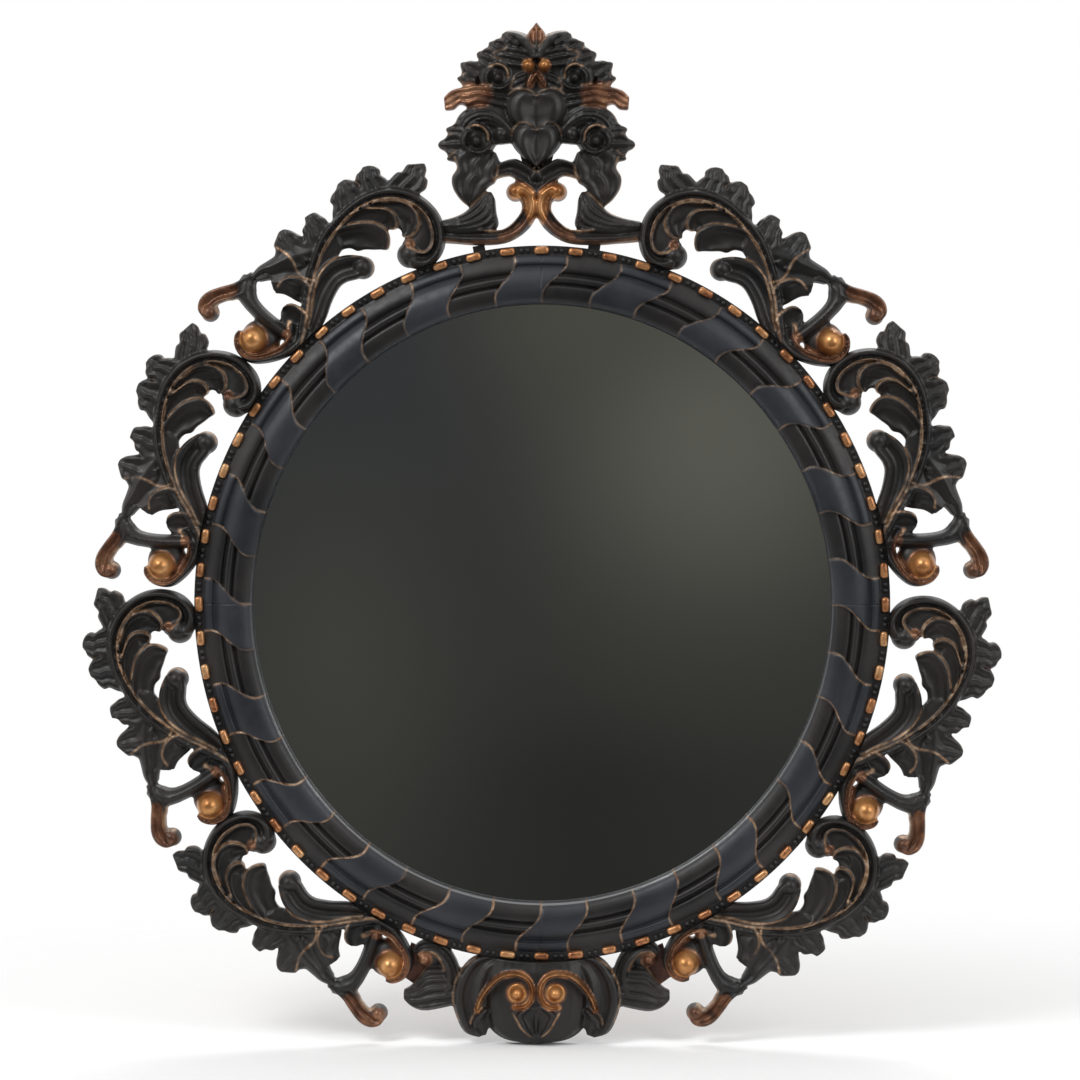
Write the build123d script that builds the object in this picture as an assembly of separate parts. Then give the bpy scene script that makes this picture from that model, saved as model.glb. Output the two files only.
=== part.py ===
from build123d import *
import os
from math import atan2, cos, degrees, hypot, pi, radians, sin, sqrt

# An oval wall mirror: a carved ring holds the glass, eight acanthus scrolls stand round its outer edge,
# and a flowered crest and a shell-like base are fixed above and below it.
# Millimetres. +Z is up, the front faces -Y, and the origin is the oval's centre on the wall.

# Ring
ring_half_width = 348.5
ring_half_height = 358.5
ring_band = 58.0
ring_height = 25.0
sight_lip = 15.0
lip_chamfer = 2.5
cushion_width = 34.0
cushion_edge = 19.5
groove_width = 4.0
groove_depth = 3.0
ledge_width = 9.0
ledge_height = 14.0
tongue_length = 36.0
tongue_width = 26.0
tongue_thickness = 6.0

# Glass and back
glass_thickness = 4.0
glass_lap = 4.5
glass_clearance = 0.5
board_thickness = 6.0
board_lap = 24.0

# Bead edge
bead_count = 64
bead_length = 16.0
bead_width = 8.0
bead_height = 5.0
pearls_between = 2
pearl_radius = 2.7
pearl_height = 3.4
pearl_gap = 6.2

# Carvings
drawn_pitch = 220.6
carving_setback = 2.0
rim = 10.0
leaf_rim = 7.0
heart_rim = 14.0
ball_radius = 13.0
ball_height = 27.0
crest_shift = -5.0
base_shift = -5.0
backing_thickness = 6.0
tallest = 60.0

# Loose tenons
tenon_width = 12.0
tenon_thickness = 5.0
tenon_in_ring = 14.0
tenon_in_carving = 6.0
tenon_level = 7.0
crest_tenon_places = (-57.0, 57.0)
base_tenon_places = (-100.0, -34.0, 34.0, 100.0)
glue_gap = 0.1

# Hangers
hanger_height = 100.0
strap_width = 16.0
strap_length = 38.0
strap_thickness = 1.2
wire_radius = 1.5
knuckle_clearance = 0.08
knuckle_lift = 0.2
loop_inside_width = 18.0
loop_straight = 6.0
screw_head = 6.0
screw_head_height = 1.8
screw_shank = 3.0
screw_length = 13.0
screw_places = (24.0, 33.0)

# A scroll is set on the ring by its two seats. Each row holds the lower seat's place round the ring,
# in degrees of an even circle from the top, and how far each seat is let in past the ring's edge.
left_scrolls = [(43.6, 1.5, 1.5), (80.0, 5.0, 2.4), (116.9, 1.5, 1.5), (152.9, 4.0, 1.5)]
right_scrolls = [(43.9, 3.5, 2.8), (79.7, 6.0, 1.5), (117.8, 6.0, 1.8), (153.6, 8.5, 1.5)]

# Planes, as heights in front of the wall
land = board_thickness
carving_back = land + carving_setback
step = land + glass_thickness

# The oval is drawn from four centres: end arcs about (0, +-offset), side arcs about (-+offset, 0)
offset = (ring_half_height - ring_half_width) / (2 - sqrt(2))
end_radius = ring_half_height - offset
side_radius = ring_half_width + offset
perimeter = (end_radius + side_radius) * pi
scale = perimeter / 10 / drawn_pitch


def oval_place(turn, inset=0.0):
    """The edge's point at `turn` degrees of an even circle, clockwise from the top, and its normal."""
    ends = end_radius - inset
    sides = side_radius - inset
    quarter = (ends + sides) * pi / 4
    along = (turn % 360) / 90
    count = int(along)
    along = (along - count) * quarter
    # A quarter starts on an end arc or, when it is an odd one, on a side arc
    first = ends if count % 2 == 0 else sides
    second = sides if count % 2 == 0 else ends
    if along < first * pi / 4:
        angle = along / first
        on_end = count % 2 == 0
    else:
        angle = pi / 4 + (along - first * pi / 4) / second
        on_end = count % 2 == 1
    angle += count * pi / 2
    if on_end:
        x = ends * sin(angle)
        z = ends * cos(angle) + (offset if cos(angle) > 0 else -offset)
    else:
        x = sides * sin(angle) - (offset if sin(angle) > 0 else -offset)
        z = sides * cos(angle)
    return x, z, angle


def oval_face(inset, height):
    """The oval drawn `inset` inside the ring's edge, `height` in front of the wall."""
    arcs = []
    for centre, radius, start in (
        ((0, offset), end_radius, 45),
        ((offset, 0), side_radius, 135),
        ((0, -offset), end_radius, 225),
        ((-offset, 0), side_radius, 315),
    ):
        arcs.append(CenterArc((centre[0], centre[1], 0), radius - inset, start, 90))
    return Plane.XZ.offset(height) * make_face(Wire(arcs))


def oval_plate(inset, back, front):
    return extrude(oval_face(inset, back), amount=front - back)


def upright(shape, x, z, angle, height):
    """Turns a shape's +Z to the normal at `angle` clockwise from the top, and moves it there."""
    return Pos(x, -height, z) * Rot(0, degrees(angle), 0) * shape


def spot(x, z, height):
    return Vector(x, -height, z)


def facets(faces):
    """The closed solid that flat faces enclose."""
    return Solid(Shell([Face(Wire.make_polygon(points)) for points in faces]))


def scaled(rows):
    """Rows at the scale of this ring: up to three sizes in the plan, and then heights, which stay."""
    return [(*(value * scale for value in row[:3]), *row[3:]) for row in rows]


def smoothed(rows, steps):
    """Rows between the given ones, on a curve that passes through them all."""
    result = []
    last = len(rows) - 1
    for i in range(last):
        before, start, end, after = rows[max(i - 1, 0)], rows[i], rows[i + 1], rows[min(i + 2, last)]
        for k in range(steps):
            t = k / steps
            row = []
            for a, b, c, d in zip(before, start, end, after):
                value = 2 * b + (c - a) * t
                value += (2 * a - 5 * b + 4 * c - d) * t ** 2
                value += (3 * b - a - 3 * c + d) * t ** 3
                row.append(value / 2)
            result.append(tuple(row))
    result.append(rows[last])
    return result


def blade(rows, edge=rim, steps=1):
    """A ridged band along a line of (x, z, half width, ridge height), flat behind."""
    rows = smoothed(scaled(rows), steps)
    sides = ([], [])
    for i, (x, z, half, _) in enumerate(rows):
        start = rows[max(i - 1, 0)]
        end = rows[min(i + 1, len(rows) - 1)]
        run, rise = end[0] - start[0], end[1] - start[1]
        length = hypot(run, rise)
        sides[0].append((x - rise / length * half, z + run / length * half))
        sides[1].append((x + rise / length * half, z - run / length * half))
    ridge = [spot(x, z, height) for x, z, _, height in rows]
    faces = [[spot(*p, 0) for p in sides[0]] + [spot(*p, 0) for p in reversed(sides[1])]]
    for side in sides:
        for i in range(len(rows) - 1):
            a, b = side[i], side[i + 1]
            faces.append([spot(*a, 0), spot(*b, 0), spot(*b, edge), spot(*a, edge)])
            faces.append([spot(*a, edge), spot(*b, edge), ridge[i + 1]])
            faces.append([spot(*a, edge), ridge[i + 1], ridge[i]])
    for i in (0, -1):
        a, b = sides[0][i], sides[1][i]
        faces.append([spot(*a, 0), spot(*a, edge), ridge[i], spot(*b, edge), spot(*b, 0)])
    return facets(faces)


def peak(outline, top, edge=leaf_rim):
    """A leaf or petal: an outline of (x, z), a rim of one height, and a peak at (x, z, height)."""
    outline = scaled(outline)
    apex = spot(top[0] * scale, top[1] * scale, top[2])
    faces = [[spot(*p, 0) for p in outline]]
    for a, b in zip(outline, outline[1:] + outline[:1]):
        faces.append([spot(*a, 0), spot(*b, 0), spot(*b, edge), spot(*a, edge)])
        faces.append([spot(*a, edge), spot(*b, edge), apex])
    return facets(faces)


def both_sides(outline):
    """A left half outline, from the axis out and back to the axis, with its mirror image."""
    return outline + [(-x, z) for x, z in reversed(outline) if x != 0]


def knob(x, z, rings, sides=8):
    """A round boss of flats, through (radius, height) rings."""
    levels = []
    for radius, height in rings:
        corners = []
        for k in range(sides):
            angle = 2 * pi * (k + 0.5) / sides
            corners.append(spot((x + radius * cos(angle)) * scale, (z + radius * sin(angle)) * scale, height))
        levels.append(corners)
    faces = [levels[0], levels[-1]]
    for lower, upper in zip(levels, levels[1:]):
        for k in range(sides):
            nxt = (k + 1) % sides
            faces.append([lower[k], lower[nxt], upper[nxt], upper[k]])
    return facets(faces)


def ball(x, z, radius=ball_radius, height=ball_height):
    return knob(x, z, [(radius * 0.9, 0), (radius, height * 0.55), (radius * 0.55, height)])


def joined(pieces):
    return pieces[0].fuse(*pieces[1:])


def on_wall(shape):
    """Brings a carving drawn from its own back to its place in front of the wall."""
    return Pos(0, -carving_back, 0) * shape


def flipped(shape):
    return mirror(shape, about=Plane.YZ)


# Ring segments: the band's profile, from the sight edge out, turned about each centre of the oval
def ring_profile():
    groove = cushion_width + lip_chamfer
    cove = groove + groove_width
    ledge = ring_band - ledge_width
    return [
        (0, step),
        (0, land + sight_lip),
        (lip_chamfer, land + sight_lip + lip_chamfer),
        (groove * 0.3, land + ring_height - 1.5),
        (groove * 0.5, land + ring_height),
        (groove * 0.75, land + ring_height - 1.5),
        (groove, land + cushion_edge),
        (groove + groove_width / 2, land + cushion_edge - groove_depth),
        (cove, land + cushion_edge),
        (ledge, land + ledge_height),
        (ring_band, land + ledge_height),
        (ring_band, land),
        (glass_lap + glass_clearance, land),
        (glass_lap + glass_clearance, step),
    ]


def ring_quarter():
    """The top right quarter."""
    profile = ring_profile()
    at_top = [Vector(0, -h, ring_half_height - ring_band + u) for u, h in profile]
    at_side = [Vector(ring_half_width - ring_band + u, -h, 0) for u, h in profile]
    end = revolve(make_face(Wire.make_polygon(at_top)), Axis((0, 0, offset), (0, 1, 0)), 45)
    side = revolve(make_face(Wire.make_polygon(at_side)), Axis((-offset, 0, 0), (0, -1, 0)), 45)
    return end + side


def seam_tongues(gap=0.0):
    """A loose tongue across each of the four seams, all on the band's middle."""
    middle = (ring_band - ledge_width) / 2
    height = land + ring_height * 0.4
    block = Box(tongue_length + gap, tongue_thickness + gap, tongue_width + gap)
    tongues = []
    for turn in (0, 90, 180, 270):
        x, z, angle = oval_place(turn, ring_band - middle)
        tongues.append(upright(block, x, z, angle, height))
    return tongues


def bead():
    """A half barrel lying on the ledge, its length along X."""
    sections = []
    for x, part in ((-1, 0.55), (0, 1), (1, 0.55)):
        half, top = bead_width / 2 * part, bead_height * part
        outline = [(half, 0), (half, top * 0.45), (half * 0.45, top)]
        outline += [(-z, h) for z, h in reversed(outline)]
        sections.append([Vector(x * bead_length / 2, -h, z) for z, h in outline])
    faces = [sections[0], sections[-1]]
    for a, b in zip(sections, sections[1:]):
        for k in range(len(a)):
            nxt = (k + 1) % len(a)
            faces.append([a[k], a[nxt], b[nxt], b[k]])
    return facets(faces)


def pearl():
    corners = [Vector(pearl_radius * x, 0, pearl_radius * z) for x, z in ((1, 0), (0, 1), (-1, 0), (0, -1))]
    top = Vector(0, -pearl_height, 0)
    faces = [corners]
    for a, b in zip(corners, corners[1:] + corners[:1]):
        faces.append([a, b, top])
    return facets(faces)


def bead_edge():
    """The gilt barrels and the black pearls between them, seated on the ring's outer ledge."""
    inset = ledge_width / 2
    seat = land + ledge_height
    pitch = 360 / bead_count
    length = (end_radius + side_radius - 2 * inset) * pi
    barrels, pearls = [], []
    barrel, small = bead(), pearl()
    for k in range(bead_count):
        barrels.append(upright(barrel, *oval_place(k * pitch, inset), seat))
        for j in range(pearls_between):
            shift = (j - (pearls_between - 1) / 2) * pearl_gap / length * 360
            pearls.append(upright(small, *oval_place((k + 0.5) * pitch + shift, inset), seat))
    return barrels, pearls


# Scrolls: drawn for the left side, about the gilt ball, with the seats towards +X
lower_seat = (30.0, 38.0)
upper_seat = (19.0, 185.0)


def acanthus_scroll():
    stem = blade([
        (2, 180, 10, 24), (8, 194, 11, 24), (-2, 210, 9, 23), (-20, 215, 8, 21), (-40, 210, 8, 20),
        (-57, 195, 8, 20), (-66, 168, 7, 19), (-63, 134, 7, 18), (-49, 104, 7, 18), (-26, 79, 8, 18),
        (2, 58, 8, 18), (22, 34, 9, 20), (24, 8, 8, 20), (6, -15, 6, 15),
    ])
    lobes = [
        peak([(-15, 189), (-21, 181), (-32, 184), (-60, 182), (-48, 203), (-25, 206)], (-38, 192, 17), rim),
        peak([(-32, 184), (-31, 175), (-36, 167), (-62, 160), (-60, 182)], (-46, 175, 16), rim),
        peak([(-36, 167), (-17, 161), (-25, 143), (-37, 128), (-48, 108), (-62, 163)], (-42, 150, 16), rim),
        peak([(-20, 76), (-36, 66), (-38, 55), (-30, 41), (-20, 52), (0, 58)], (-24, 62, 16), rim),
        peak([(6, 56), (-14, 48), (-14, 41), (0, 34), (20, 38)], (2, 45, 16), rim),
        blade([(-12, 137, 4, 13), (-12, 128, 10, 17), (-15, 110, 11, 18), (-6, 88, 13, 18), (12, 58, 9, 17)]),
    ]
    leaves = [
        peak([(-48, 210), (-50, 226), (-65, 234), (-73, 230), (-70, 188), (-56, 196)], (-61, 212, 15)),
        peak([(-62, 184), (-82, 189), (-100, 181), (-87, 163), (-64, 160)], (-78, 174, 15)),
        peak([(-64, 166), (-87, 163), (-97, 153), (-86, 138), (-61, 122)], (-76, 150, 15)),
        peak([(-58, 120), (-78, 112), (-68, 86), (-42, 90)], (-60, 102, 14)),
        peak([(-42, 90), (-68, 84), (-80, 76), (-74, 68), (-50, 58)], (-58, 74, 14)),
    ]
    branch = [
        blade([(-40, 92, 7, 15), (-52, 64, 9, 16), (-53, 26, 8, 16), (-50, -6, 6, 15), (-45, -23, 8, 15)],
              9.0),
        blade([(-52, 21, 11, 14), (-22, 18, 9, 15), (6, 22, 9, 14)], 9.0),
        knob(-41, -23, [(9, 0), (5, 16)], 6),
    ]
    balls = [ball(0, 0), knob(0, 178, [(12, 0), (12, 14), (6, 25)], 6)]
    return joined([stem, *lobes, *leaves, *branch, *balls])


def seated(scroll, turn, lower_inset, upper_inset):
    """The scroll set on the left of the ring, and the two places where its tenons go."""
    reach = hypot(upper_seat[0] - lower_seat[0], upper_seat[1] - lower_seat[1]) * scale
    x0, z0, angle0 = oval_place(-turn, lower_inset)
    low, high = 0.0, 60.0
    for _ in range(40):
        middle = (low + high) / 2
        x1, z1, angle1 = oval_place(middle - turn, upper_inset)
        if hypot(x1 - x0, z1 - z0) < reach:
            low = middle
        else:
            high = middle
    drawn = atan2(upper_seat[0] - lower_seat[0], upper_seat[1] - lower_seat[1])
    set_angle = atan2(x1 - x0, z1 - z0) - drawn
    start = Pos(-lower_seat[0] * scale, 0, -lower_seat[1] * scale)
    placed = Pos(x0, 0, z0) * Rot(0, degrees(set_angle), 0) * start * scroll
    places = [oval_place(-turn), oval_place(middle - turn)]
    return placed, places


def tenon(x, z, angle, gap=0.0):
    """A loose tenon across the ring's edge, its length along the normal."""
    block = Box(tenon_width + gap, tenon_thickness + gap, tenon_in_ring + tenon_in_carving + gap)
    along = (tenon_in_carving - tenon_in_ring) / 2
    return upright(Pos(0, 0, along) * block, x, z, angle, carving_back + tenon_level)


# Crest: drawn about its axis, from the ring's top edge up
def crest_scroll():
    band = blade([
        (-97, 12.5, 8, 16), (-78, 10.5, 9.5, 18), (-57, 9, 10, 20), (-38, 11, 10, 20), (-23, 19, 9.5, 20),
        (-12, 31, 8.5, 20), (-9, 42, 7.5, 21), (-14, 50, 8, 22), (-24, 53.5, 8, 22),
    ])
    leaf = blade([
        (-98, 17, 5, 14), (-80, 20, 8, 18), (-65, 26, 10, 20), (-53, 35, 9, 20), (-47, 46, 6, 16),
        (-47, 54, 1.5, 12),
    ])
    heel = peak([(-76, -18), (-38, -18), (-38, 8), (-76, 8)], (-57, 2, 9), 8.0)
    return joined([band, leaf, heel])


def crest_bracket():
    stem = blade([(0, 34, 4, 16), (0, 48, 5, 18), (0, 66, 9, 20)])
    arm = blade([(2, 58, 9, 19), (-13, 73, 10, 20), (-28, 79, 8, 18), (-46, 74, 6, 15)])
    return joined([stem, arm, flipped(arm)])


def crest_foliage():
    side_leaf = peak([(-76, 157), (-77, 168), (-73, 181.5), (-66, 172), (-52, 157)], (-66, 165, 16))
    copper_leaf = blade([(-24, 142, 10, 18), (-56, 147, 10, 22), (-76, 146, 10, 20), (-93, 135, 3, 12)])
    petal = peak([(-78, 112), (-76, 124), (-66, 135), (-44, 138), (-20, 128), (-18, 112), (-50, 92)],
                 (-58, 118, 22))
    outer = peak([(-62, 122), (-88, 117), (-99, 107), (-99, 94), (-86, 86), (-60, 84)], (-76, 102, 18))
    drop = peak([(-58, 92), (-82, 90), (-85, 77), (-79, 54), (-66, 36), (-47, 55), (-39, 69), (-42, 82)],
                (-62, 68, 20))
    ground = peak([(-14, 152), (-16, 172), (-26, 184), (-48, 186), (-60, 170), (-56, 150), (-34, 140)],
                  (-42, 160, 16))
    bud = knob(-34, 113, [(7, 0), (4, 20)], 6)
    return joined([side_leaf, copper_leaf, petal, outer, drop, ground, bud])


def crest_fan():
    tip = peak(both_sides([(0, 186), (-10, 197), (-13, 207), (-9, 215), (0, 221.5)]), (0, 204, 20))
    leaves = [
        peak([(0, 184), (-13, 205), (-32, 209.5), (-36, 205), (-32, 192), (-16, 176)], (-20, 194, 20)),
        peak([(-28, 201), (-46, 200.5), (-48, 195), (-42, 184), (-20, 172), (-16, 184)], (-34, 190, 18)),
        peak([(-40, 192), (-58, 191.5), (-57, 186), (-48, 172), (-24, 166), (-22, 180)], (-44, 182, 16)),
    ]
    centre = peak(both_sides([(0, 146), (-14, 158), (-18, 172), (-14, 186), (0, 192)]), (0, 170, 18))
    return joined([tip, centre, *leaves, *[flipped(leaf) for leaf in leaves]])


def rose(x, z, radius, base, height, petals=5):
    """A rosette: round petals that overlap, and a raised eye."""
    pieces = [knob(x, z, [(radius * 0.36, base), (radius * 0.26, base + height)], 6)]
    for k in range(petals):
        angle = 2 * pi * (k + 0.25) / petals
        cx, cz = x + radius * 0.56 * cos(angle), z + radius * 0.56 * sin(angle)
        pieces.append(knob(cx, cz, [(radius * 0.46, base), (radius * 0.28, base + height * 0.65)], 6))
    return joined(pieces)


def crest_backing():
    outline = both_sides([(0, 64), (-12, 74), (-18, 96), (-20, 112), (-56, 98), (-72, 108), (-60, 130),
                          (-54, 160), (-38, 184), (0, 200)])
    face = make_face(Wire.make_polygon([spot(*p, 0) for p in scaled(outline)]))
    return extrude(face, amount=backing_thickness, dir=(0, 1, 0))


# Base: drawn about its axis, from the ring's bottom edge down
def base_cartouche():
    belly = peak(both_sides([(0, 8), (-44, 8), (-54, -28), (-49, -52), (-40, -69.5), (-24, -81.5), (0, -83.5)]),
                 (0, -48, 30), 16.0)
    lobe = peak([(-40, 8), (-66, 8), (-77, -13.5), (-84, -28), (-84, -47), (-78, -67), (-66, -76.5), (-56, -72),
                 (-50, -40)], (-66, -36, 22), 12.0)
    volute = blade([(-57, -45, 5, 24), (-49, -28, 4.5, 28), (-36, -15, 4.5, 30), (-19, -10, 4.5, 32),
                    (-6, -18, 4, 34), (-6, -34, 4, 34), (-18, -42, 3, 34)], 20.0)
    centre_leaf = peak(both_sides([(0, -44), (-22, -48), (-13, -64), (0, -74.5)]), (0, -58, 35), 24.0)
    eye = knob(-19.5, -30, [(9, 0), (10, 26), (10, 32), (5, 37)])
    left = [lobe, volute, eye]
    return joined([belly, centre_leaf, *left, *[flipped(piece) for piece in left]])


def base_leaf():
    band = blade([(-113, 9, 5, 16), (-102, 9, 7, 18), (-91, 1, 8, 19), (-85, -13, 8, 19), (-88, -28, 7, 17)])
    leaf = peak([(-108, -8), (-114, -20), (-124, -29), (-134, -30), (-133, -40), (-122, -49), (-103, -48),
                 (-90, -42), (-84, -28), (-88, -8)], (-104, -30, 17))
    eye = knob(-112, 2.5, [(6.5, 0), (7.5, 12), (4, 19)])
    heel = peak([(-118, 6), (-90, 24), (-84, 8), (-104, -12)], (-98, 4, 14), 12.0)
    return joined([band, leaf, eye, heel])


def base_block():
    outline = scaled([(-126, 16), (-98, 4), (-100, -24), (-122, -26), (-136, -16)])
    face = make_face(Wire.make_polygon([spot(*p, 0) for p in outline]))
    return extrude(face, amount=backing_thickness, dir=(0, 1, 0))


# Hangers: a strap curled round the straight side of a D-shaped wire loop
axis_height = land - strap_thickness - wire_radius - knuckle_clearance - knuckle_lift


def hanger_place():
    """The middle of the land beside the board, at the hangers' height, on the right."""
    middle = side_radius - (ring_band - board_lap) / 2
    return sqrt(middle ** 2 - hanger_height ** 2) - offset


def hanger_strap():
    """Drawn with the loop's axis at the origin and the ring's land in front of it, towards -Y."""
    bore = wire_radius + knuckle_clearance
    back = land - axis_height
    curl = Cylinder(bore + strap_thickness, strap_width, rotation=(0, 90, 0))
    plate = Box(strap_width, strap_thickness, strap_length)
    plate = Pos(0, strap_thickness / 2 - back, -strap_length / 2) * plate
    strap = curl + plate - Cylinder(bore, strap_width * 2, rotation=(0, 90, 0))
    hole = Cylinder(screw_shank / 2 + glue_gap, strap_thickness * 4, rotation=(90, 0, 0))
    for place in screw_places:
        strap -= Pos(0, -back, -place) * hole
    return strap


def hanger_loop(sides=8, turns=8):
    """A closed loop of wire hanging from its straight side, which lies on the X axis."""
    half = loop_inside_width / 2 + wire_radius
    # Each stop on the wire's centreline, and its way out from the loop
    stops = [(half, 0.0, (1, 1)), (-half, 0.0, (-1, 1))]
    for k in range(turns + 1):
        angle = pi + pi * k / turns
        stops.append((half * cos(angle), half * sin(angle) - loop_straight, (cos(angle), sin(angle))))
    rings = []
    for x, z, outward in stops:
        ring = []
        for k in range(sides):
            angle = 2 * pi * (k + 0.5) / sides
            reach, front = wire_radius * cos(angle), wire_radius * sin(angle)
            ring.append(Vector(x + outward[0] * reach, -front, z + outward[1] * reach))
        rings.append(ring)
    faces = []
    for a, b in zip(rings, rings[1:] + rings[:1]):
        for k in range(sides):
            nxt = (k + 1) % sides
            faces.append([a[k], a[nxt], b[nxt], b[k]])
    return facets(faces)


def screw():
    """A round-headed screw, its head standing behind the origin and its point towards -Y."""
    cap = Cylinder(screw_head / 2, screw_head_height, align=(Align.CENTER, Align.CENTER, Align.MIN))
    rod = Pos(0, 0, -screw_length / 2) * Cylinder(screw_shank / 2, screw_length)
    return Rot(-90, 0, 0) * (cap + rod)


def on_side(shape, side):
    """A shape drawn for the left side, on the side named."""
    return shape if side == "left" else flipped(shape)


def at_crest(shape):
    return Pos(crest_shift, 0, ring_half_height) * on_wall(shape)


def at_base(shape):
    return Pos(base_shift, 0, -ring_half_height) * on_wall(shape)


def ring_scrolls(ring_block):
    """The eight scrolls, each cut by the ring and by the one above it, and their tenons' places."""
    nodes, places = {}, []
    drawn = on_wall(acanthus_scroll())
    for side, rows in (("left", left_scrolls), ("right", right_scrolls)):
        above = None
        for k, row in enumerate(rows):
            placed, seats = seated(drawn, *row)
            placed = on_side(placed, side) - ring_block
            if above:
                placed = placed - above
            above = placed
            nodes[f"scroll_{side}_{k + 1}"] = placed
            places += [seat if side == "left" else (-seat[0], seat[1], -seat[2]) for seat in seats]
    return nodes, places


def crest(ring_block, scrolls):
    """The crest's pieces: the hearts and roses whole, and each of the rest cut by what it meets."""
    lower_outline = [(0, 77), (-14, 88), (-23, 100), (-24, 112), (-16, 120), (-7, 119), (0, 114)]
    upper_outline = [(0, 116), (-12, 121), (-25, 131), (-28, 144), (-18, 155.5), (-8, 154), (0, 148)]
    lower = at_crest(peak(both_sides(lower_outline), (0, 98, 26), heart_rim))
    upper = at_crest(peak(both_sides(upper_outline), (0, 134, 28), heart_rim)) - lower
    nodes = {"crest_heart_lower": lower, "crest_heart_upper": upper}
    upper_rose, lower_rose = rose(-40, 169.5, 17, 12.0, 14), rose(-59, 104.5, 20, 12.0, 16)
    for side in ("left", "right"):
        nodes[f"rose_upper_{side}"] = at_crest(on_side(upper_rose, side))
        nodes[f"rose_lower_{side}"] = at_crest(on_side(lower_rose, side))
    berries = [at_crest(knob(x, 177.5, [(6.5, 12), (6.5, 20), (3.5, 25)])) for x in (-8.5, 8.5)]
    bracket = at_crest(crest_bracket()) - lower
    fan = at_crest(crest_fan()) - [upper, nodes["rose_upper_left"], nodes["rose_upper_right"], *berries]
    foliage, scroll = crest_foliage(), crest_scroll()
    curls = []
    for side in ("left", "right"):
        curl = at_crest(on_side(scroll, side)) - [ring_block, scrolls[f"scroll_{side}_1"], bracket, *curls]
        curls.append(curl)
        nodes[f"crest_scroll_{side}"] = curl
        around = [lower, upper, bracket, fan, curl, nodes[f"rose_upper_{side}"], nodes[f"rose_lower_{side}"]]
        leaves = at_crest(on_side(foliage, side)) - around
        nodes[f"crest_foliage_{side}"] = leaves.solids().sort_by(SortBy.VOLUME)[-1]
    nodes["crest_bracket"] = bracket
    nodes["crest_fan"] = fan
    nodes["crest_berries"] = Compound(berries)
    nodes["crest_backing"] = at_crest(crest_backing())
    return nodes


def base(ring_block, scrolls):
    """The base's pieces, each cut by what it meets."""
    cartouche = at_base(base_cartouche()) - ring_block
    nodes = {"base_cartouche": cartouche}
    leaf, block = base_leaf(), base_block()
    for side in ("left", "right"):
        around = [ring_block, cartouche, scrolls[f"scroll_{side}_4"]]
        nodes[f"base_leaf_{side}"] = at_base(on_side(leaf, side)) - around
        nodes[f"base_block_{side}"] = at_base(on_side(block, side)) - ring_block
    return nodes


def build():
    ring_block = oval_plate(0, 0, carving_back + tallest)
    nodes, scroll_places = ring_scrolls(ring_block)
    scrolls = dict(nodes)
    nodes.update(crest(ring_block, scrolls))
    nodes.update(base(ring_block, scrolls))

    # Loose tenons between the ring and what stands on its edge
    turn = 360 / perimeter
    crest_places = [oval_place((crest_shift + x * scale) * turn) for x in crest_tenon_places]
    base_places = [oval_place(180 - (base_shift + x * scale) * turn) for x in base_tenon_places]
    places = scroll_places + crest_places + base_places
    cuts = [tenon(*place, glue_gap) for place in places]
    for name in nodes:
        if name.startswith(("scroll_", "crest_scroll", "base_cartouche", "base_leaf")):
            nodes[name] = nodes[name] - cuts
    nodes["scroll_tenons"] = Compound([tenon(*place) for place in scroll_places])
    nodes["crest_tenons"] = Compound([tenon(*place) for place in crest_places])
    nodes["base_tenons"] = Compound([tenon(*place) for place in base_places])

    # Hangers
    strap, loop = hanger_strap(), hanger_loop()
    screws = []
    for side, x in (("left", -hanger_place()), ("right", hanger_place())):
        place = Pos(x, -axis_height, hanger_height)
        nodes[f"hanger_strap_{side}"] = place * strap
        nodes[f"hanger_loop_{side}"] = place * loop
        for drop in screw_places:
            screws.append(Pos(x, strap_thickness - land, hanger_height - drop) * screw())
    nodes["hanger_screws"] = Compound(screws)

    # The ring's four quarters
    quarter = ring_quarter()
    slots = seam_tongues(glue_gap)
    nodes["ring_top_right"] = quarter - (slots + cuts + screws)
    nodes["ring_top_left"] = flipped(quarter) - (slots + cuts + screws)
    nodes["ring_bottom_right"] = mirror(quarter, about=Plane.XY) - (slots + cuts)
    nodes["ring_bottom_left"] = mirror(flipped(quarter), about=Plane.XY) - (slots + cuts)
    nodes["ring_tongues"] = Compound(seam_tongues())

    barrels, pearls = bead_edge()
    nodes["gilt_beads"] = Compound(barrels)
    nodes["black_pearls"] = Compound(pearls)

    # Glass in its rebate, and the board behind it
    nodes["mirror_glass"] = oval_plate(ring_band - glass_lap, land, step)
    nodes["back_board"] = oval_plate(ring_band - board_lap, 0, land)
    return nodes


os.makedirs("parts", exist_ok=True)
for name, shape in build().items():
    export_step(shape, f"parts/{name}.step")
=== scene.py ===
import random
from math import atan2, cos, degrees, hypot, pi, radians, sin, sqrt

import bmesh
import bpy
from mathutils import Matrix, Vector, kdtree


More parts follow.
